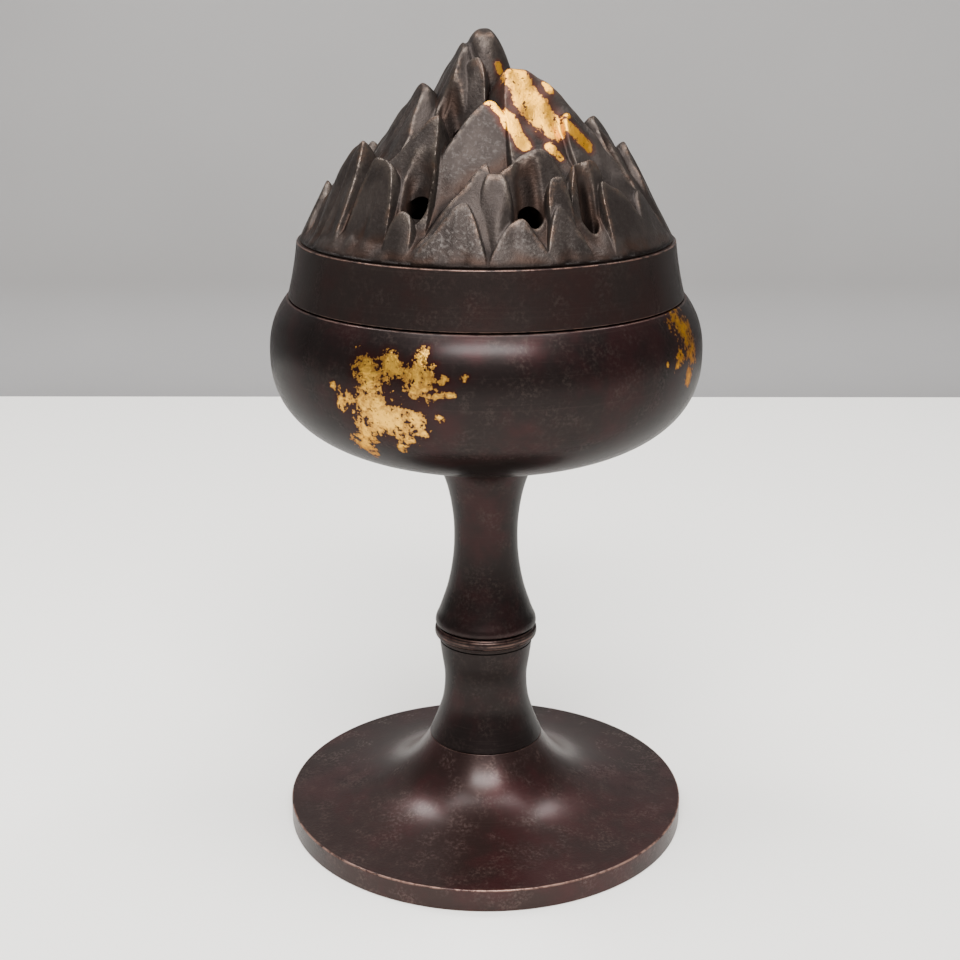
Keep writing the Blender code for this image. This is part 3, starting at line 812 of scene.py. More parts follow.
@dataclass
class Stem:
    """The stem: a lower length, a node ring and an upper length, bored for the tie rod."""

    bore: float = 3.4 * MM
    lower_waist: float = 10.35 * MM
    lower_top: float = 11.6 * MM
    lower_foot: float = 14.2 * MM
    shoulder: float = 12.65 * MM
    upper_waist: float = 7.86 * MM
    upper_top: float = 14.0 * MM
    ring: float = 12.8 * MM
    ring_wear: float = 0.35
    # the share of the ring's step below which no hand reaches it
    sheltered: float = 0.3

    def lower(self) -> list[Corner]:
        """Draw the lower length: wide at the foot, waisted, swelling to the ring.

        Returns:
            The profile's corners.
        """
        low, high, _ = span("stem_lower")
        flare = self.lower_foot - self.lower_waist
        swell = self.lower_top - self.lower_waist
        shape = ((0.0, flare), (0.17, 0.54 * flare), (0.38, 0.12 * flare), (0.62, 0.0),
                 (0.85, 0.6 * swell), (1.0, swell))
        return self.bored(curve_through([
            (self.lower_waist + out, low + share * (high - low)) for share, out in shape],
            steps=12))

    def upper(self) -> list[Corner]:
        """Draw the upper length: a round shoulder, a long waist and a flare to the bowl.

        Returns:
            The profile's corners.
        """
        low, high, _ = span("stem_upper")
        shoulder = self.shoulder - self.upper_waist
        flare = self.upper_top - self.upper_waist
        shape = ((0.0, 0.9 * shoulder), (0.012, 0.985 * shoulder), (0.04, 0.95 * shoulder),
                 (0.095, 0.74 * shoulder), (0.23, 0.335 * shoulder), (0.37, 0.09 * shoulder),
                 (0.5, 0.0), (0.64, 0.035 * flare), (0.8, 0.235 * flare), (0.92, 0.56 * flare),
                 (1.0, flare))
        return self.bored(curve_through([
            (self.upper_waist + out, low + share * (high - low)) for share, out in shape],
            steps=8))

    def node(self) -> list[Corner]:
        """Draw the node ring: two fine steps up to a bead, and a groove above it.

        Returns:
            The profile's corners.
        """
        low, high, _ = span("stem_ring")
        neck = self.ring - self.lower_top
        rise = high - low
        shape = ((0.0, 0.0, 0.04), (0.12, 0.02, 0.06), (0.15, 0.36, 0.12), (0.29, 0.40, 0.06),
                 (0.32, 0.76, 0.16), (0.42, 0.92, 0.2), (0.62, 1.0, 0.3), (0.82, 0.9, 0.25),
                 (0.93, 0.5, 0.15), (1.0, 0.42, 0.05))
        side = [Corner(self.lower_top + out * neck, low + share * rise, ease * MM,
                       self.ring_wear if out > self.sheltered else 0.0)
                for share, out, ease in shape]
        return [*eased(side, steps=3)[1:-1], Corner(self.bore, high), Corner(self.bore, low)]

    def bored(self, side: list[Corner]) -> list[Corner]:
        """Return a whole profile from its outer side, with the rod's bore inside."""
        return [*side, Corner(self.bore, side[-1].height), Corner(self.bore, side[0].height)]

    def build(self, finish: PatinatedBronze) -> None:
        """Turn the three lengths and dress them.

        Args:
            finish: The finish that they share.
        """
        material = finish.make()
        for name, profile, node in (("lower_stem", self.lower(), "stem_lower"),
                                    ("node_ring", self.node(), "stem_ring"),
                                    ("upper_stem", self.upper(), "stem_upper")):
            dress(turned(name, profile, Turn.SLIM), material, Body.ROOT, Slot.DARK, node)


# ---------------------------------------------------------------- bowl and ash cup

@dataclass
class Bowl:
    """The low round bowl with its rim, the ledge for the ash cup and the boss for the rod."""

    depth: float = 25.69 * MM
    rise: float = 26.58 * MM
    lower_powers: tuple[float, float] = (2.806, 2.327)
    upper_power: float = 2.363
    wall: float = 2.8 * MM
    floor: float = 3.6 * MM
    boss: float = 8.0 * MM
    boss_top: float = 9.6 * MM
    thread_depth: float = 7.3 * MM
    thread_bore: float = 3.3 * MM
    rim_land: float = 4.07 * MM
    ledge: float = 2.6 * MM
    ledge_depth: float = 6.2 * MM
    seat: float = 14.0 * MM
    # azimuth in degrees from the front towards +X, height above the bowl's underside and reach
    # of each blot of gold, in mm, by pairs that a stroke joins
    blots: tuple[tuple[float, ...], ...] = (
        (-28.5, 22.5, -24.5, 20.0, 6.4), (-29.5, 30.5, -28.5, 27.5, 4.4),
        (-24.5, 33.5, -22.5, 32.0, 2.6), (-17.0, 31.0, -15.5, 28.5, 3.6),
        (-15.0, 35.4, -16.5, 33.8, 1.7), (-37.0, 23.0, -34.0, 24.0, 2.4),
        (-33.5, 13.5, -31.5, 17.0, 3.0), (-33.5, 10.0, -32.5, 10.6, 1.4),
        (-17.5, 21.8, -16.5, 20.8, 1.9), (-15.6, 18.4, -15.2, 17.8, 1.5),
        (-12.0, 26.6, -8.0, 27.2, 1.0), (-5.2, 30.4, -4.6, 31.0, 0.8),
        (-40.3, 26.4, -39.8, 26.0, 1.0), (-21.8, 13.0, -21.6, 14.0, 1.2),
        (-11.0, 22.0, -10.4, 21.4, 0.8), (-19.5, 15.6, -19.0, 16.2, 1.0),
        (-10.4, 29.6, -9.4, 30.2, 0.9), (-12.6, 33.0, -12.0, 33.4, 0.8),
        (62.5, 36.8, 66.0, 30.0, 4.4), (57.5, 29.8, 56.5, 28.6, 2.2),
        (63.5, 25.0, 62.8, 23.4, 1.8), (51.0, 29.4, 51.4, 29.0, 0.8))

    def outer(self, radius: float, height: float) -> float:
        """Work out the bowl's outside.

        Args:
            radius: The radius at the widest line.
            height: The height above that line, negative below it.

        Returns:
            The outer radius there.
        """
        if height >= 0.0:
            return radius * (1 - (height / self.rise) ** self.upper_power) ** (
                1 / self.upper_power)
        across, down = self.lower_powers
        return radius * (1 - (-height / self.depth) ** down) ** (1 / across)

    def belly(self, radius: float, middle: float, depth: float, inner: float,
              steps: int) -> list[Corner]:
        """Return the lower belly's curve.

        Args:
            radius: The radius at the widest line.
            middle: The height of that line.
            depth: How far the curve drops.
            inner: The radius where it ends underneath.
            steps: How many spans it has.

        Returns:
            Points from the widest line down and in.
        """
        across, down = self.lower_powers
        last = math.acos((inner / radius) ** (across / 2))
        return [Corner(radius * math.cos(last * step / steps) ** (2 / across),
                       middle - depth * math.sin(last * step / steps) ** (2 / down))
                for step in range(steps + 1)]

    def profile(self) -> list[Corner]:
        """Draw the bowl's profile, from the boss up the inside and down the belly.

        Returns:
            The profile's corners.
        """
        low, rim, radius = span("bowl")
        middle = low + self.depth
        rim_radius = self.outer(radius, rim - middle)
        mouth = rim_radius - self.rim_land
        ledge_radius = mouth - self.ledge
        ledge = rim - self.ledge_depth
        inner = self.belly(radius - self.wall, middle, self.depth - self.floor, self.boss,
                           steps=40)
        upper_steps = 28
        upper = [Corner(self.outer(radius, (rim - middle) * step / upper_steps),
                        middle + (rim - middle) * step / upper_steps)
                 for step in range(upper_steps - 1, 0, -1)]
        outer = self.belly(radius, middle, self.depth, self.seat, steps=56)
        boss_top = low + self.boss_top
        hole_top = low + self.thread_depth
        return eased([
            Corner(0.0, boss_top), Corner(self.boss, boss_top, 0.6 * MM), *reversed(inner),
            Corner(ledge_radius, ledge - self.ledge, 0.5 * MM),
            Corner(ledge_radius, ledge, 0.3 * MM, 0.4), Corner(mouth, ledge, 0.2 * MM),
            Corner(mouth, rim, 0.4 * MM, 0.3), Corner(rim_radius, rim, 0.35 * MM, 0.2),
            *upper, *outer[:-1], Corner(self.seat, low, 0.2 * MM),
            Corner(self.thread_bore, low, 0.3 * MM), Corner(self.thread_bore, hole_top),
            Corner(0.0, hole_top)])

    def strokes(self) -> list[Stroke]:
        """Lay the strokes of gold on the belly.

        Returns:
            The strokes, in metres.
        """
        low, _, radius = span("bowl")
        strokes = []
        for first, first_up, last, last_up, reach in self.blots:
            ends = []
            for azimuth, up in ((first, first_up), (last, last_up)):
                out = self.outer(radius, up * MM - self.depth)
                angle = math.radians(azimuth)
                ends.append(Vector((out * math.sin(angle), -out * math.cos(angle),
                                    low + up * MM)))
            strokes.append(Stroke(ends[0], ends[1], reach * MM))
        return strokes

    def build(self, finish: PatinatedBronze) -> None:
        """Turn the bowl, splash it with gold and dress it.

        Args:
            finish: Its finish.
        """
        piece = turned("bowl_body", self.profile(), Turn.WIDE, closed=False)
        paint(piece.data, "gold", closeness(vertices_of(piece.data), self.strokes()))
        dress(piece, finish.make(), Body.ROOT, Slot.DARK, "bowl")


@dataclass
class AshCup:
    """The spun copper cup that hangs in the bowl's mouth and holds the ash."""

    wall: float = 1.2 * MM
    corner: float = 6.0 * MM
    lip: float = 2.2 * MM
    bead: float = 0.5 * MM

    def profile(self) -> list[Corner]:
        """Draw the cup's profile, from the middle of its floor up inside and down outside.

        Returns:
            The profile's corners.
        """
        low, high, rim = span("ash_liner")
        side = rim - self.lip
        steps = 12
        arc = [math.pi / 2 * step / steps for step in range(steps + 1)]
        centre = side - self.corner
        inside = [Corner(centre + (self.corner - self.wall) * math.cos(angle),
                         low + self.corner - (self.corner - self.wall) * math.sin(angle))
                  for angle in reversed(arc)]
        outside = [Corner(centre + self.corner * math.cos(angle),
                          low + self.corner - self.corner * math.sin(angle)) for angle in arc]
        return eased([
            Corner(0.0, low + self.wall), *inside,
            Corner(side - self.wall, high, self.bead, 1.0), Corner(rim, high, self.bead, 1.0),
            Corner(rim, high - self.wall, 0.3 * MM, 0.5),
            Corner(side, high - self.wall, 0.2 * MM), *outside, Corner(0.0, low)])

    def build(self, finish: MachinedMetal) -> None:
        """Turn the cup and dress it."""
        piece = turned("ash_cup", self.profile(), Turn.WIDE, closed=False)
        dress(piece, finish.make(), Body.LINER, Slot.COPPER, "ash_liner")


# ---------------------------------------------------------------- lid

@dataclass
class LidBand:
    """The lid's tapered band, with the spigot that drops into the bowl's mouth."""

    taper: float = 2.4 * MM
    bow: float = 0.25 * MM
    wall: float = 3.0 * MM
    spigot: float = 42.3 * MM
    spigot_wall: float = 2.4 * MM
    height: float = 12.75 * MM
    edge: float = 0.32 * MM
    land: float = 1.1 * MM

    def profile(self) -> list[Corner]:
        """Draw the band's profile, down its outside and up its inside.

        Returns:
            The profile's corners.
        """
        low, high, radius = span("lid_collar")
        seat = high - self.height
        steps = 16

        def side(share: float) -> Corner:
            """Return the outside at a share of the height."""
            bow = self.bow * 4 * share * (1 - share)
            return Corner(radius - self.taper * share - bow, seat + self.height * share)

        top = radius - self.taper
        inner = self.spigot - self.spigot_wall
        middle = side(0.5)
        return eased([
            Corner(top, high, self.edge, 0.6),
            *[side(step / steps) for step in range(steps - 1, 0, -1)],
            Corner(radius, seat, 0.3 * MM, 0.35), Corner(self.spigot, seat, 0.2 * MM),
            Corner(self.spigot, low, 0.4 * MM, 0.5), Corner(inner, low, 0.4 * MM, 0.3),
            Corner(inner, middle.height - self.wall, 0.8 * MM),
            Corner(middle.radius - self.wall, middle.height, 0.8 * MM),
            # the wear on the flat top land is partly painted light on that shaded step
            Corner(top - self.wall, high, 0.3 * MM), Corner(top - self.land, high, 0.0, 0.5)])

    def build(self, finish: PatinatedBronze) -> None:
        """Turn the band and dress it."""
        piece = turned("lid_band", self.profile(), Turn.WIDE)
        dress(piece, finish.make(), Body.LID, Slot.DARK, "lid_collar")


# half-widths are measured this far below a tip, in mm
GAUGE = 10.0


@dataclass(frozen=True)
class Leaf:
    """One leaf-shaped peak of the mountain, in mm.

    azimuth runs from the front towards +X, distance and tip place the tip from the axis and the
    hill's base, left and right are half-widths at the gauge, power bends the outline
    (1 is a straight gable), face and back are slopes, crown rounds the face across, taper draws
    it in downwards, flute is the depth of the folds down its face and grain its paleness.
    """

    azimuth: float
    distance: float
    tip: float
    left: float
    right: float
    power: float
    face: float
    back: float = 2.2
    back_ease: float = 2.0
    crown: float = 0.02
    taper: float = 0.0
    flute: float = 0.0
    grain: float = 0.15


@dataclass(frozen=True)
class Hollow:
    """A channel that the chaser sank from one place to another, with its radius and depth in mm."""

    start: tuple[float, float]
    end: tuple[float, float]
    radius: float
    depth: float


SUMMIT_SHOULDER = Leaf(-78.0, 5.4, 43.6, 5.2, 7.0, 1.9, 1.75, 2.0, 2.0, flute=0.05)

FRONT_LEAVES = (
    # round the summit
    Leaf(-21.2, 6.9, 40.4, 3.8, 3.4, 2.6, 2.7, 2.5, 1.5, 0.03, grain=0.3),
    Leaf(-69.0, 15.2, 34.8, 6.5, 6.5, 1.4, 1.5, 1.6, 3.0, flute=0.09),
    Leaf(30.0, 12.0, 38.4, 6.0, 12.5, 1.9, 1.25, 1.5, 4.0, 0.01),
    # the middle row, from the left
    Leaf(-60.0, 24.0, 20.0, 8.0, 6.5, 1.3, 1.6, 2.0, 3.0),
    Leaf(-26.8, 23.2, 29.2, 9.0, 2.0, 1.2, 1.6, 2.0, 3.0, grain=0.3),
    Leaf(1.8, 18.1, 32.0, 9.2, 9.0, 1.25, 1.7, 2.0, 3.0, 0.012, grain=0.7),
    Leaf(52.5, 22.5, 28.8, 5.0, 6.0, 1.7, 1.5, 1.5, 3.0),
    Leaf(76.0, 24.9, 27.8, 5.0, 6.0, 2.2, 1.5, 2.0, 2.5, 0.03),
    # the outer row, from the left
    Leaf(-62.0, 31.0, 23.4, 7.0, 3.5, 1.5, 2.0, 2.2, 2.0, 0.03, flute=0.13),
    Leaf(-45.0, 32.8, 20.2, 3.4, 6.8, 3.4, 2.3, 2.2, 2.0, flute=0.09),
    Leaf(-0.2, 32.0, 20.3, 8.6, 2.6, 1.05, 2.0, 2.2, 2.2, grain=0.25),
    Leaf(22.0, 30.0, 22.8, 14.0, 6.5, 1.5, 2.6, 2.2, 2.5, 0.03),
    Leaf(40.8, 32.6, 20.1, 6.0, 5.5, 3.0, 3.2, 2.2, 2.0),
    Leaf(88.0, 31.5, 21.9, 6.0, 6.0, 1.5, 1.8, 2.2, 2.5, 0.03, flute=0.15),
    # the small ones at the base, from the left
    Leaf(-88.0, 37.0, 13.0, 6.5, 6.5, 1.4, 1.95, 2.5, 2.0, flute=0.2),
    Leaf(-66.0, 38.5, 7.5, 6.5, 6.5, 1.4, 1.95, 2.5, 2.0, flute=0.2),
    Leaf(-27.5, 38.0, 10.2, 4.2, 3.5, 2.6, 2.1, 2.5, 1.5, 0.05, 0.02),
    Leaf(-7.0, 36.8, 12.7, 9.0, 4.4, 1.25, 2.05, 2.5, 2.0, 0.005, grain=1.0),
    Leaf(3.2, 33.8, 18.4, 3.9, 3.9, 2.6, 2.1, 2.5, 1.5, 0.13, 0.03, grain=0.25),
    Leaf(10.2, 38.3, 9.3, 7.5, 7.0, 1.5, 2.05, 2.5, 2.0, 0.005, grain=0.8),
    Leaf(25.5, 34.6, 17.5, 2.9, 2.9, 3.0, 2.6, 2.5, 1.5, 0.12, 0.01),
    Leaf(24.5, 37.3, 11.5, 4.5, 5.5, 1.4, 2.05, 2.5, 2.0, grain=0.5),
    Leaf(45.5, 35.2, 15.5, 2.2, 11.0, 1.5, 2.0, 2.5, 2.0, 0.01),
    Leaf(66.0, 36.9, 12.8, 6.0, 6.0, 1.3, 1.95, 2.5, 2.0),
)


@dataclass(frozen=True)
class Tier:
    """One tier of the back's leaves: its first and last azimuth, its count and its leaf."""

    first: float
    last: float
    count: int
    leaf: Leaf


BACK_TIERS = (
    Tier(76.0, 240.0, 2, Leaf(0, 14.5, 35.2, 7.5, 7.5, 1.3, 1.5, 1.7, 3.0, flute=0.15)),
    Tier(112.0, 240.0, 4, Leaf(0, 24.0, 26.0, 7.4, 7.4, 1.3, 1.6, 2.0, 3.0, flute=0.15)),
    Tier(100.0, 250.0, 6, Leaf(0, 31.9, 19.4, 6.2, 6.2, 1.4, 2.0, 2.2, 2.3, flute=0.15)),
    Tier(80.0, 262.0, 8, Leaf(0, 37.2, 12.4, 6.6, 6.6, 1.4, 2.0, 2.5, 2.0, 0.015, grain=0.5)),
)

HOLLOWS = (
    Hollow((-15.0, -29.8), (-14.2, -27.6), 2.9, 4.2), Hollow((9.2, -33.0), (8.7, -31.3), 2.7, 3.0),
    Hollow((-8.0, -10.5), (-6.0, -13.5), 2.4, 4.0), Hollow((21.0, -26.5), (22.0, -28.5), 1.9, 4.0),
    Hollow((27.0, -9.0), (31.5, -11.0), 1.5, 3.5),
)

# azimuth in degrees, distance and height in mm of each smoke hole's mouth
SMOKE_HOLES = (
    (-26.4, 34.6, 12.3), (15.4, 35.6, 9.6), (-22.0, 15.5, 25.4), (97.0, 34.5, 10.0),
    (140.0, 34.5, 10.0), (183.0, 34.5, 10.0), (226.0, 34.5, 10.0), (265.0, 34.5, 10.0),
    (120.0, 16.5, 22.0), (215.0, 16.5, 22.0),
)

# the gold on the peaks: start and end as x, y and height above the hill's base, and reach, in mm
PEAK_GOLD = (
    ((6.4, -11.5, 36.0), (8.7, -13.8, 32.6), 4.0), ((8.5, -14.0, 32.3), (12.8, -16.0, 28.2), 4.6),
    ((12.8, -16.0, 28.0), (14.2, -16.8, 26.0), 3.8),
    ((17.6, -16.0, 26.8), (22.0, -15.2, 22.3), 2.1),
    ((1.8, -18.3, 31.5), (4.2, -19.5, 29.0), 1.6), ((4.2, -19.5, 29.0), (8.0, -23.0, 23.3), 2.1),
    ((0.3, -18.2, 31.9), (1.2, -18.3, 31.6), 1.1), ((13.5, -20.8, 22.5), (14.4, -21.0, 21.6), 1.3),
    ((15.6, -21.2, 20.8), (16.0, -21.2, 20.2), 1.2), ((2.8, -4.8, 38.6), (3.0, -5.0, 37.6), 1.3),
    ((17.6, -14.0, 28.9), (17.9, -14.0, 28.5), 1.0), ((13.2, -9.2, 34.8), (14.0, -10.2, 33.8), 1.2),
)


def soft_low(first: Array, second: Array, ease: float) -> Array:
    """Return the lower of two surfaces, with the crease between them eased by some mm."""
    share = np.clip(0.5 + 0.5 * (second - first) / ease, 0.0, 1.0)
    return second + (first - second) * share - ease * share * (1 - share)


def soft_high(first: Array, second: Array, ease: float) -> Array:
    """Return the higher of two surfaces, with the crease between them eased by some mm."""
    return -soft_low(-first, -second, ease)


def smoothed(grid: Array, sigma: float) -> Array:
    """Blur a square grid.

    Args:
        grid: Rows of heights.
        sigma: The blur's spread, in cells.

    Returns:
        The blurred grid, of the same size.
    """
    reach = max(1, int(3 * sigma))
    weights = np.exp(-0.5 * (np.arange(-reach, reach + 1) / sigma) ** 2)
    weights /= weights.sum()
    for _ in range(2):
        padded = np.pad(grid, ((reach, reach), (0, 0)), "edge")
        grid = sum(weight * padded[shift:shift + len(grid)]
                   for shift, weight in enumerate(weights)).T
    return grid


@dataclass
class Mountain:
    """The lid's mountain: leaf-shaped peaks over a hollow core, pierced for the smoke.

    Sizes are in mm. The eases are how softly two surfaces run into each other.
    """

    cells: int = 330
    map_step: float = 0.2
    band: float = 0.35
    # the share of the band that is left where the skirt meets the rim
    band_left: float = 0.6
    skirt: float = 1.95
    skirt_ease: float = 1.0
    mound: float = 26.5
    mound_powers: tuple[float, float] = (1.35, 0.85)
    # how much lower the mound is for each mm that it lies inside the skin
    mound_sinking: float = 1.2
    summit_widths: tuple[float, float, float] = (6.4, 6.0, 6.2)
    summit_powers: tuple[float, float] = (3.0, 1.6)
    summit_turn: float = 2.0
    summit_ease: float = 0.6
    shoulder_ease: float = 1.8
    leaf_ease: float = 0.4
    # within a leaf: its rounded spine, the crease where its face starts, and its folds
    spine: float = 0.4
    brow_ease: float = 0.55
    flute_fade: float = 4.0
    flute_depth: float = 4.0
    flute_turn: float = 1.4
    flute_sway: tuple[float, float] = (1.1, 0.8)
    flute_drift: tuple[float, float] = (0.3, 0.4)
    # the back's leaves: how far they sway, its turn from leaf to leaf and from tier to tier, and
    # its share in azimuth, distance and width
    sway: float = 1.3
    sway_turns: tuple[float, float] = (2.4, 1.7)
    sway_shares: tuple[float, float, float] = (2.0, 0.3, 0.8)
    plain_grain: float = 0.1
    hollow_power: int = 6
    thumb_marks: int = 36
    thumb_lengths: tuple[float, float] = (3.5, 9.0)
    thumb_depth: float = 0.26
    thumb_seed: int = 7
    wall: float = 2.8
    hole: float = 2.7
    hole_tilt: float = 38.0
    hole_length: float = 16.0
    hole_lead: float = 4.0
    core_facets: int = 120
    # the skirt runs down over the join, to a hair above the band
    seat_drop: float = 0.27
    seat_inset: float = 0.1
    # what the paint goes by: blur in cells, the reach of a crest and of a fold, how deep the
    # inside starts, and the heights and depths that count; the folds, the hollows and the
    # inside get soot and painted shade
    blur: float = 2.0
    crest_reach: float = 0.8
    fold_reach: float = 2.6
    skin: float = 1.6
    wear_from: float = 0.07
    wear_rise: float = 0.28
    wear_most: float = 0.7
    soot_and_shade_depth: float = 1.1
    hollow_soot_and_shade: float = 0.95
    base: float = field(init=False)
    radius: float = field(init=False)
    height: float = field(init=False)

    def __post_init__(self) -> None:
        """Take the hill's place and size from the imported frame, in mm."""
        low, high, radius = span("lid_mountain")
        self.base, self.radius, self.height = low / MM, radius / MM, (high - low) / MM

    def leaves(self) -> list[Leaf]:
        """Gather every leaf: the front's one by one, the back's tier by tier.

        Returns:
            The leaves, in the order that they are joined.
        """
        made = list(FRONT_LEAVES)
        per_leaf, per_tier = self.sway_turns
        turn, shift, lean = self.sway_shares
        for level, tier in enumerate(BACK_TIERS):
            for index in range(tier.count):
                sway = self.sway * math.sin(per_leaf * index + per_tier * level)
                plan = tier.leaf
                azimuth = tier.first + (tier.last - tier.first) * (index + 0.5) / tier.count
                made.append(Leaf(
                    azimuth + turn * sway, plan.distance + shift * sway, plan.tip + sway,
                    plan.left + lean * sway, plan.right - lean * sway, plan.power, plan.face,
                    plan.back, plan.back_ease, plan.crown, plan.taper, plan.flute, plan.grain))
        return made

    def leaf_surface(self, x: Array, y: Array, leaf: Leaf) -> Array:
        """Work out one leaf's skin.

        Args:
            x: Places across, in mm.
            y: Places front to back, in mm.
            leaf: The leaf.

        Returns:
            Its height above the hill's base, in mm.
        """
        angle = math.radians(leaf.azimuth)
        out = x * math.sin(angle) - y * math.cos(angle) - leaf.distance
        across = x * math.cos(angle) + y * math.sin(angle)
        across = across * (1 + leaf.taper * np.maximum(out, 0.0) ** 2)
        width = np.where(across < 0, leaf.left, leaf.right)
        side = np.sqrt(across ** 2 + self.spine ** 2) - self.spine
        behind = np.maximum(-out, 0.0)
        fall = leaf.back * (np.sqrt(behind ** 2 + leaf.back_ease ** 2) - leaf.back_ease)
        outline = leaf.tip - GAUGE * (side / width) ** leaf.power - fall
        face = leaf.tip - leaf.face * out - leaf.crown * across ** 2
        if leaf.flute:
            fade = np.clip(out / self.flute_fade, 0.0, 1.0)
            swing, swing_turn = self.flute_sway
            drift, drift_turn = self.flute_drift
            sway = (swing * np.sin(across * swing_turn + leaf.azimuth)
                    + drift * np.sin(out * drift_turn))
            face = face - leaf.flute * self.flute_depth * fade * (
                1 - np.cos(across * self.flute_turn + sway))
        return soft_low(outline, face, self.brow_ease)

    def mound_surface(self, away: Array, inset: float) -> Array:
        """Work out the smooth mound under the leaves.

        Args:
            away: Distances from the axis, in mm.
            inset: How far inside the skin it lies, in mm.

        Returns:
            The height above the hill's base, in mm.
        """
        edge = self.radius - inset
        across, up = self.mound_powers
        share = np.clip(1 - (np.minimum(away, edge) / edge) ** across, 0.0, 1.0)
        return (self.mound - self.mound_sinking * inset) * share ** up

    def summit_surface(self, x: Array, y: Array) -> Array:
        """Work out the blunt summit, which is steeper on its right.

        Args:
            x: Places across, in mm.
            y: Places front to back, in mm.

        Returns:
            The height above the hill's base, in mm.
        """
        left, right, depth = self.summit_widths
        turn = 0.5 + 0.5 * x / np.sqrt(x ** 2 + y ** 2 + self.summit_turn ** 2)
        away = np.sqrt((x / (left + (right - left) * turn)) ** 2 + (y / depth) ** 2)
        first, last = self.summit_powers
        return self.height - GAUGE * away ** (first + (last - first) * turn)

    def surface(self, x: Array, y: Array) -> tuple[Array, Array]:
        """Work out the mountain's skin.

        Args:
            x: Places across, in mm.
            y: Places front to back, in mm.

        Returns:
            The height above the hill's base in mm, and how pale the grain is.
        """
        away = np.hypot(x, y)
        height = soft_high(self.mound_surface(away, 0.0), self.summit_surface(x, y),
                           self.summit_ease)
        height = soft_high(height, self.leaf_surface(x, y, SUMMIT_SHOULDER), self.shoulder_ease)
        grain = np.full(x.shape, self.plain_grain)
        for leaf in self.leaves():
            face = self.leaf_surface(x, y, leaf)
            grain = np.where(face > height, leaf.grain, grain)
            height = soft_high(height, face, self.leaf_ease)
        for hollow in HOLLOWS:
            spots = np.stack([x.ravel(), y.ravel(), np.zeros(x.size)], 1)
            off = 1 - closeness(spots, [Stroke(Vector((*hollow.start, 0.0)),
                                               Vector((*hollow.end, 0.0)), hollow.radius)])
            height = height - hollow.depth * np.exp(-off.reshape(x.shape) ** self.hollow_power)
        height = height + self.hand_marks(x, y)
        skirt = self.band + self.skirt * (self.radius - away)
        rounded = soft_low(height, skirt, self.skirt_ease)
        return np.clip(rounded, self.band * self.band_left, self.height), grain

    def hand_marks(self, x: Array, y: Array) -> Array:
        """Work out the low swells that a wax modeller's thumb leaves.

        Args:
            x: Places across, in mm.
            y: Places front to back, in mm.

        Returns:
            How high they stand, in mm.
        """
        random = np.random.default_rng(self.thumb_seed)
        marks = np.zeros(x.shape)
        for _ in range(self.thumb_marks):
            length = random.uniform(*self.thumb_lengths)
            turn, phase = random.uniform(0, 2 * math.pi, 2)
            marks += np.sin((x * math.cos(turn) + y * math.sin(turn)) * 2 * math.pi / length
                            + phase)
        return self.thumb_depth * marks / math.sqrt(self.thumb_marks)

    def ground(self) -> tuple[Array, Array]:
        """Press an even grid into a disc.

        Returns:
            Its x and y, in mm.
        """
        line = np.linspace(-1.0, 1.0, self.cells + 1)
        a, b = np.meshgrid(line, line)
        wide = np.abs(a) > np.abs(b)
        radius = np.where(wide, a, b)
        short = np.where(wide, b, a)
        angle = math.pi / 4 * short / np.where(radius == 0, 1.0, radius)
        angle = np.where(wide, angle, math.pi / 2 - angle)
        return self.radius * radius * np.cos(angle), self.radius * radius * np.sin(angle)

    def shell(self) -> bpy.types.Object:
        """Make the mountain as one closed shell, before it is pierced.

        Returns:
            The shell.
        """
        x, y = self.ground()
        height, _ = self.surface(x, y)
        side = self.cells + 1
        index = np.arange(side * side).reshape(side, side)
        spots = [np.stack([x.ravel(), y.ravel(), height.ravel()], 1)]
        quads = np.stack([index[:-1, :-1], index[:-1, 1:], index[1:, 1:], index[1:, :-1]], -1)
        faces = quads.reshape(-1, 4).tolist()
        rim = np.concatenate([index[0, :-1], index[:-1, -1], index[-1, :0:-1], index[:0:-1, 0]])
        loops = [rim.tolist()]
        count = side * side
        for lift, inset in ((0.0, 0.0), (-self.seat_drop, self.seat_inset)):
            share = 1 - inset / self.radius
            ring = np.stack([x.ravel()[rim] * share, y.ravel()[rim] * share,
                             np.full(len(rim), lift)], 1)
            spots.append(ring)
            loops.append(list(range(count, count + len(rim))))
            count += len(rim)
        for upper, lower in zip(loops, loops[1:]):
            faces += [[lower[i], lower[(i + 1) % len(rim)], upper[(i + 1) % len(rim)], upper[i]]
                      for i in range(len(rim))]
        core, core_faces = self.core(x.ravel()[rim], y.ravel()[rim], loops[-1], count)
        mesh = bpy.data.meshes.new("mountain_peaks")
        every = np.concatenate([*spots, core])
        every[:, 2] += self.base
        mesh.from_pydata((every * MM).tolist(), [], faces + core_faces)
        return make_object("mountain_peaks", mesh)

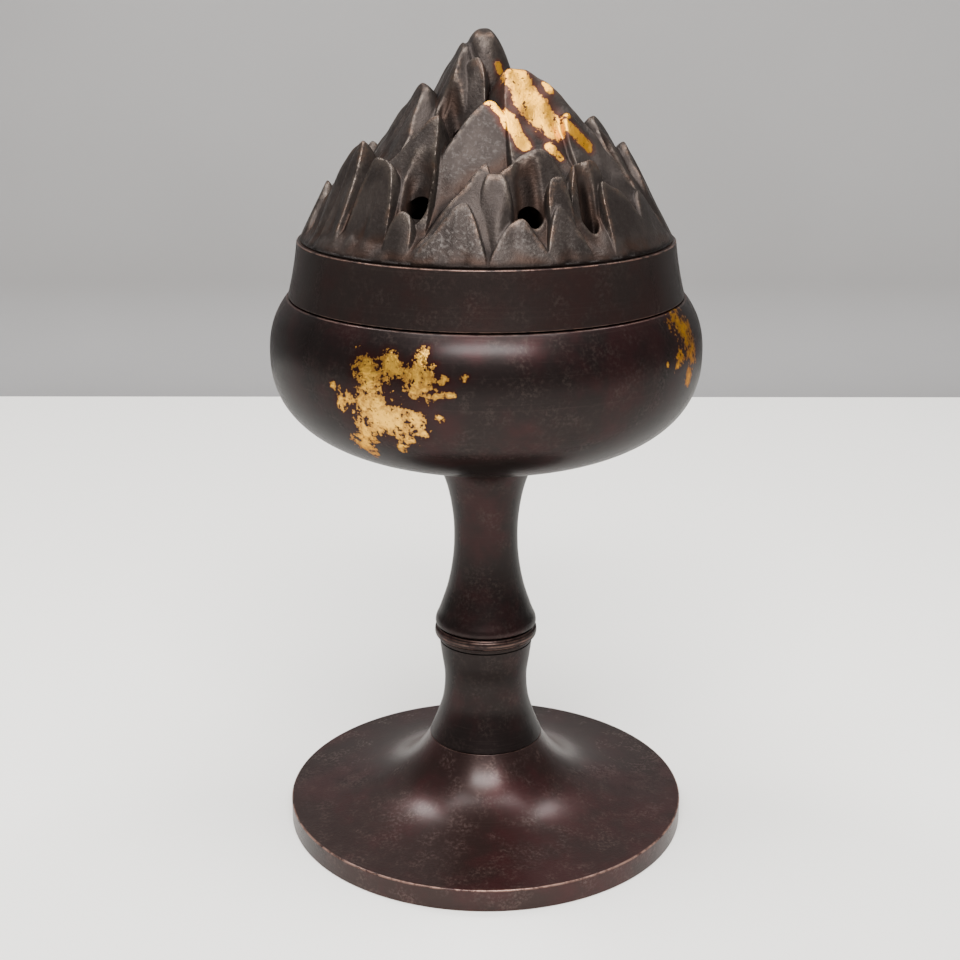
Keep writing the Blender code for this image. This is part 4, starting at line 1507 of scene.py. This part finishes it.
    def core(self, rim_x: Array, rim_y: Array, loop: list[int],
             count: int) -> tuple[Array, list[list[int]]]:
        """Make the flat seat and the smooth hollow inside.

        Args:
            rim_x: x of the outer rim, in mm.
            rim_y: y of the outer rim, in mm.
            loop: The seat's outer vertices.
            count: How many vertices there are so far.

        Returns:
            The new vertices and the new faces.
        """
        stride = len(loop) // self.core_facets
        picks = list(range(0, len(loop), stride))
        turn_x, turn_y = rim_x[picks] / self.radius, rim_y[picks] / self.radius
        rings = 20
        inner = self.radius - self.wall
        away = inner * np.linspace(1.0, 0.0, rings + 1)[:-1]
        up = self.mound_surface(away, self.wall)
        spots = [np.stack([turn_x * out, turn_y * out, np.full(len(picks), lift)], 1)
                 for out, lift in zip(away, up)]
        number = len(picks)
        faces = []
        for place in range(number):
            after = (place + 1) % number
            outer = [loop[(picks[place] + step) % len(loop)] for step in range(stride + 1)]
            faces.append([*reversed(outer), count + place, count + after])
            for ring in range(rings - 1):
                low = count + ring * number
                faces.append([low + after, low + place, low + number + place,
                              low + number + after])
            last = count + (rings - 1) * number
            faces.append([last + after, last + place, count + rings * number])
        top = np.array([[0.0, 0.0, self.mound_surface(np.zeros(1), self.wall)[0]]])
        return np.concatenate([*spots, top]), faces

    def smoke_cutters(self) -> list[bpy.types.Object]:
        """Make the tools that pierce the smoke holes, each running down and in.

        Returns:
            The tools.
        """
        tools = []
        for number, (azimuth, distance, height) in enumerate(SMOKE_HOLES):
            mesh = bpy.data.meshes.new(f"smoke_cutter_{number}")
            shape = bmesh.new()
            bmesh.ops.create_cone(shape, cap_ends=True, segments=40, radius1=self.hole * MM,
                                  radius2=self.hole * MM, depth=self.hole_length * MM)
            shape.to_mesh(mesh)
            shape.free()
            tool = make_object(mesh.name, mesh)
            angle, tilt = math.radians(azimuth), math.radians(self.hole_tilt)
            out = Vector((math.sin(angle), -math.cos(angle), 0.0))
            along = out * math.cos(tilt) + Vector((0.0, 0.0, math.sin(tilt)))
            mouth = out * distance + Vector((0.0, 0.0, self.base + height))
            tool.location = (mouth + along * (self.hole_lead - self.hole_length / 2)) * MM
            tool.rotation_mode = "QUATERNION"
            tool.rotation_quaternion = along.to_track_quat("Z", "Y")
            tools.append(tool)
        return tools

    def read_map(self, grid: Array, spots: Array) -> Array:
        """Read a square map of the hill.

        Args:
            grid: The map.
            spots: Rows of x, y and z, in metres.

        Returns:
            The map's value at each spot.
        """
        place = (spots[:, :2] / MM + self.radius) / self.map_step
        low = np.clip(np.floor(place).astype(int), 0, len(grid) - 2)
        part = np.clip(place - low, 0.0, 1.0)
        column, row = low[:, 0], low[:, 1]
        return ((grid[row, column] * (1 - part[:, 0]) + grid[row, column + 1] * part[:, 0])
                * (1 - part[:, 1])
                + (grid[row + 1, column] * (1 - part[:, 0])
                   + grid[row + 1, column + 1] * part[:, 0]) * part[:, 1])

    def paint_layers(self, mesh: bpy.types.Mesh) -> None:
        """Leave crest wear, soot with painted shade in the folds, grain and gold on the vertices.

        Args:
            mesh: The pierced mountain.
        """
        line = np.arange(-self.radius, self.radius + self.map_step, self.map_step)
        x, y = np.meshgrid(line, line)
        height, grain = self.surface(x, y)
        rise_y, rise_x = np.gradient(smoothed(height, self.blur), self.map_step)
        lean = np.sqrt(1 + rise_x ** 2 + rise_y ** 2)
        crest = (height - smoothed(height, self.crest_reach / self.map_step)) / lean
        fold = (smoothed(height, self.fold_reach / self.map_step) - height) / lean
        spots = vertices_of(mesh)
        # the inside gets full painted shade, near-black, with no wear, grain or gold
        inside = spots[:, 2] / MM - self.base < self.read_map(height, spots) - self.skin
        wear = np.clip((self.read_map(crest, spots) - self.wear_from) / self.wear_rise,
                       0.0, self.wear_most)
        recess = np.clip(self.read_map(fold, spots) / self.soot_and_shade_depth, 0.0, 1.0)
        flat = spots * (1.0, 1.0, 0.0)
        # the chased hollows get painted shade as well as soot
        for hollow in HOLLOWS:
            near = closeness(flat, [Stroke(Vector((*hollow.start, 0.0)) * MM,
                                           Vector((*hollow.end, 0.0)) * MM,
                                           hollow.radius * MM)])
            recess = np.maximum(recess, self.hollow_soot_and_shade * np.exp(-(1 - near) ** 2))
        paint(mesh, "wear", np.where(inside, 0.0, wear))
        paint(mesh, "recess", np.where(inside, 1.0, recess))
        paint(mesh, "grain", np.where(inside, 0.0,
                                      self.read_map(smoothed(grain, self.blur), spots)))
        lift = Vector((0.0, 0.0, self.base))
        strokes = [Stroke((Vector(start) + lift) * MM, (Vector(end) + lift) * MM, reach * MM)
                   for start, end, reach in PEAK_GOLD]
        paint(mesh, "gold", np.where(inside, OFF_GOLD, closeness(spots, strokes)))

    def build(self, finish: MountainBronze) -> None:
        """Raise the mountain, pierce it, paint it and dress it.

        Args:
            finish: Its finish.
        """
        piece = self.shell()
        carve(piece, self.smoke_cutters(), Cut.AWAY)
        self.paint_layers(piece.data)
        shade(piece.data, degrees=52.0)
        dress(piece, finish.make(), Body.LID, Slot.HILL, "lid_mountain")


# ---------------------------------------------------------------- fasteners

@dataclass
class Fasteners:
    """The threaded tie rod that runs up the stem, with its washer and nut under the foot."""

    pitch: float = 1.0 * MM
    thread: float = 0.32 * MM
    thread_length: float = 9.0 * MM
    chamfer: float = 0.5 * MM
    bore: float = 3.4 * MM
    nut_bore: float = 3.3 * MM
    flats: float = 10.0 * MM
    nut_chamfer: float = 0.7 * MM
    chamfer_slope: float = 0.6
    nut_margin: float = 0.05 * MM
    nut_ease: float = 0.3 * MM
    washer_ease: float = 0.2 * MM

    def rod(self) -> bpy.types.Object:
        """Make the rod, threaded at both ends.

        Returns:
            The rod.
        """
        low, high, radius = span("tie_rod")
        root = radius - self.thread
        side = []
        turns = int(self.thread_length / self.pitch)
        for first, sign in ((low + self.chamfer, 1), (high - self.chamfer, -1)):
            end = []
            for turn in range(turns):
                start = first + sign * turn * self.pitch
                end += [Corner(radius, start), Corner(root, start + sign * self.pitch / 2)]
            end.append(Corner(radius, first + sign * turns * self.pitch))
            side.append(end)
        tip = radius - self.chamfer
        return turned("tie_bolt", [Corner(0.0, low), Corner(tip, low), *side[0],
                                   *reversed(side[1]), Corner(tip, high), Corner(0.0, high)],
                      Turn.SMALL, closed=False)

    def washer(self) -> bpy.types.Object:
        """Make the washer, with its edges broken.

        Returns:
            The washer.
        """
        low, high, radius = span("foot_washer")
        ease = self.washer_ease
        return turned("bearing_washer", eased([
            Corner(radius, high, ease, 0.5), Corner(radius, low, ease, 0.5),
            Corner(self.bore, low, ease), Corner(self.bore, high, ease)], steps=3), Turn.SMALL)

    def nut(self) -> bpy.types.Object:
        """Make the hexagonal nut, chamfered top and bottom.

        Returns:
            The nut.
        """
        low, high, _ = span("foot_nut")
        corner = self.flats / math.sqrt(3)
        face, wide = corner - self.nut_chamfer, corner + self.nut_margin
        rise = self.nut_chamfer * self.chamfer_slope
        blank = turned("clamp_nut", eased([
            Corner(self.nut_bore, low, self.nut_ease), Corner(face, low),
            Corner(wide, low + rise), Corner(wide, high - rise),
            Corner(face, high), Corner(self.nut_bore, high, self.nut_ease)], steps=3),
            Turn.SMALL)
        mesh = bpy.data.meshes.new("nut_flats")
        shape = bmesh.new()
        bmesh.ops.create_cone(shape, cap_ends=True, segments=6, radius1=corner, radius2=corner,
                              depth=(high - low) * 2)
        shape.to_mesh(mesh)
        shape.free()
        hexagon = make_object("nut_flats", mesh)
        hexagon.location.z = (low + high) / 2
        carve(blank, [hexagon], Cut.COMMON)
        shade(blank.data, degrees=25.0)
        return blank

    def build(self, steel: MachinedMetal, brass: MachinedMetal) -> None:
        """Make the three fasteners and dress them.

        Args:
            steel: The rod's finish.
            brass: The finish of the washer and the nut.
        """
        dress(self.rod(), steel.make(), Body.ROOT, Slot.STEEL, "tie_rod")
        yellow = brass.make()
        dress(self.washer(), yellow, Body.ROOT, Slot.BRASS, "foot_washer")
        dress(self.nut(), yellow, Body.ROOT, Slot.BRASS, "foot_nut")


# ---------------------------------------------------------------- studio

@dataclass(frozen=True)
class Softbox:
    """A soft rectangular lamp: where it hangs, what it looks at, its sides and its watts."""

    name: str
    place: tuple[float, float, float]
    target: tuple[float, float, float]
    width: float
    depth: float
    watts: float
    tone: str = "#ffffff"


@dataclass
class Studio:
    """The pale floor, the grey backdrop, the lamps and the camera."""

    far: float = 0.42
    half_width: float = 1.6
    near: float = -1.4
    wall: float = 1.2
    cove: float = 0.05
    floor_tone: str = "#f8f5ef"
    wall_tone: str = "#848281"
    air_tone: str = "#e8ecf2"
    air_strength: float = 0.31
    lens: float = 60.14
    sensor: float = 36.0
    camera_place: tuple[float, float, float] = (0.0, -0.3731, 0.2074)
    # how far below level the camera looks, in degrees, and how far it is turned, in radians
    camera_drop: float = 17.62
    camera_turn: float = 0.0039
    lamps: tuple[Softbox, ...] = (
        Softbox("overhead", (0.0, -0.15, 1.0), (0.0, 0.0, 0.1), 0.9, 0.4, 14.0),
        Softbox("front_window", (0.0, -0.66, 0.80), (0.0, 0.0, 0.05), 0.60, 0.18, 14.0),
        Softbox("back_left", (-0.50, 0.34, 0.95), (0.0, 0.0, 0.05), 0.22, 0.22, 5.0),
        Softbox("back_right", (0.50, 0.34, 0.95), (0.0, 0.0, 0.05), 0.22, 0.22, 3.5),
    )

    def sheet(self, name: str, rows: Sequence[tuple[float, float]], tone: str) -> None:
        """Lay one sheet of paper across the set.

        Args:
            name: The sheet's name.
            rows: The depth and height of each row it runs through.
            tone: Its colour.
        """
        mesh = bpy.data.meshes.new(name)
        spots = [(side * self.half_width, depth, height) for depth, height in rows
                 for side in (-1, 1)]
        faces = [[2 * row, 2 * row + 1, 2 * row + 3, 2 * row + 2]
                 for row in range(len(rows) - 1)]
        mesh.from_pydata(spots, [], faces)
        mesh.polygons.foreach_set("use_smooth", [True] * len(faces))
        paper = make_object(name, mesh)
        mesh.materials.append(StudioPaper(name + "_paper", tone).make())

    def set_up(self) -> None:
        """Lay the paper, hang the lamps, and set the world's light and the camera."""
        self.sheet("floor", ((self.near, 0.0), (self.far, 0.0)), self.floor_tone)
        steps = 16
        arc = [math.pi / 2 * step / steps for step in range(steps + 1)]
        self.sheet("backdrop", [(self.far + self.cove * math.sin(angle),
                                 self.cove * (1 - math.cos(angle))) for angle in arc]
                   + [(self.far + self.cove, self.wall)], self.wall_tone)
        for lamp in self.lamps:
            light = bpy.data.lights.new(lamp.name, "AREA")
            light.shape = "RECTANGLE"
            light.size, light.size_y, light.energy = lamp.width, lamp.depth, lamp.watts
            light.color = linear(lamp.tone)[:3]
            holder = bpy.data.objects.new(lamp.name, light)
            holder.location = lamp.place
            aim = Vector(lamp.target) - Vector(lamp.place)
            holder.rotation_euler = aim.to_track_quat("-Z", "Y").to_euler()
            bpy.context.scene.collection.objects.link(holder)
        world = bpy.data.worlds.new("studio_air")
        world.use_nodes = True
        sky = world.node_tree.nodes["Background"]
        sky.inputs["Color"].default_value = linear(self.air_tone)
        sky.inputs["Strength"].default_value = self.air_strength
        bpy.context.scene.world = world
        self.aim_camera()

    def aim_camera(self) -> None:
        """Set the camera a forearm's length in front, looking slightly down."""
        lens = bpy.data.cameras.new("camera")
        lens.lens = self.lens
        lens.sensor_width = self.sensor
        lens.clip_start, lens.clip_end = 0.01, 20.0
        camera = bpy.data.objects.new("camera", lens)
        camera.location = self.camera_place
        camera.rotation_euler = (math.radians(90 - self.camera_drop), 0.0, self.camera_turn)
        bpy.context.scene.collection.objects.link(camera)
        bpy.context.scene.camera = camera


# ---------------------------------------------------------------- everything together

def main() -> None:
    """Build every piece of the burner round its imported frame."""
    logging.basicConfig(level=logging.INFO, format="%(message)s")
    Studio().set_up()
    bronze = PatinatedBronze("dark_patinated_bronze")
    Foot().build(PatinatedBronze("mottled_foot_bronze", body="#271a18", red="#311919",
                                 haze="#4c3c38", dust_ramp=Ramp(0.4, 0.7, 0.8),
                                 edge_tint="#96837d", metallic=0.5, gloss=0.4, wax=0.25,
                                 roughness=0.32))
    Stem().build(bronze)
    Bowl().build(PatinatedBronze("gold_splashed_bronze", gilding=Gilding()))
    AshCup().build(MachinedMetal("spun_copper", "#985f48", "#7c4634", 0.34))
    LidBand().build(PatinatedBronze("band_bronze", body="#2a2321", red="#2e211f"))
    Mountain().build(MountainBronze())
    Fasteners().build(MachinedMetal("drawn_steel", "#8d8f92", "#6c6a68", 0.36),
                      MachinedMetal("milled_brass", "#b99a5b", "#8a6f3c", 0.32))


if __name__ == "__main__":
    main()
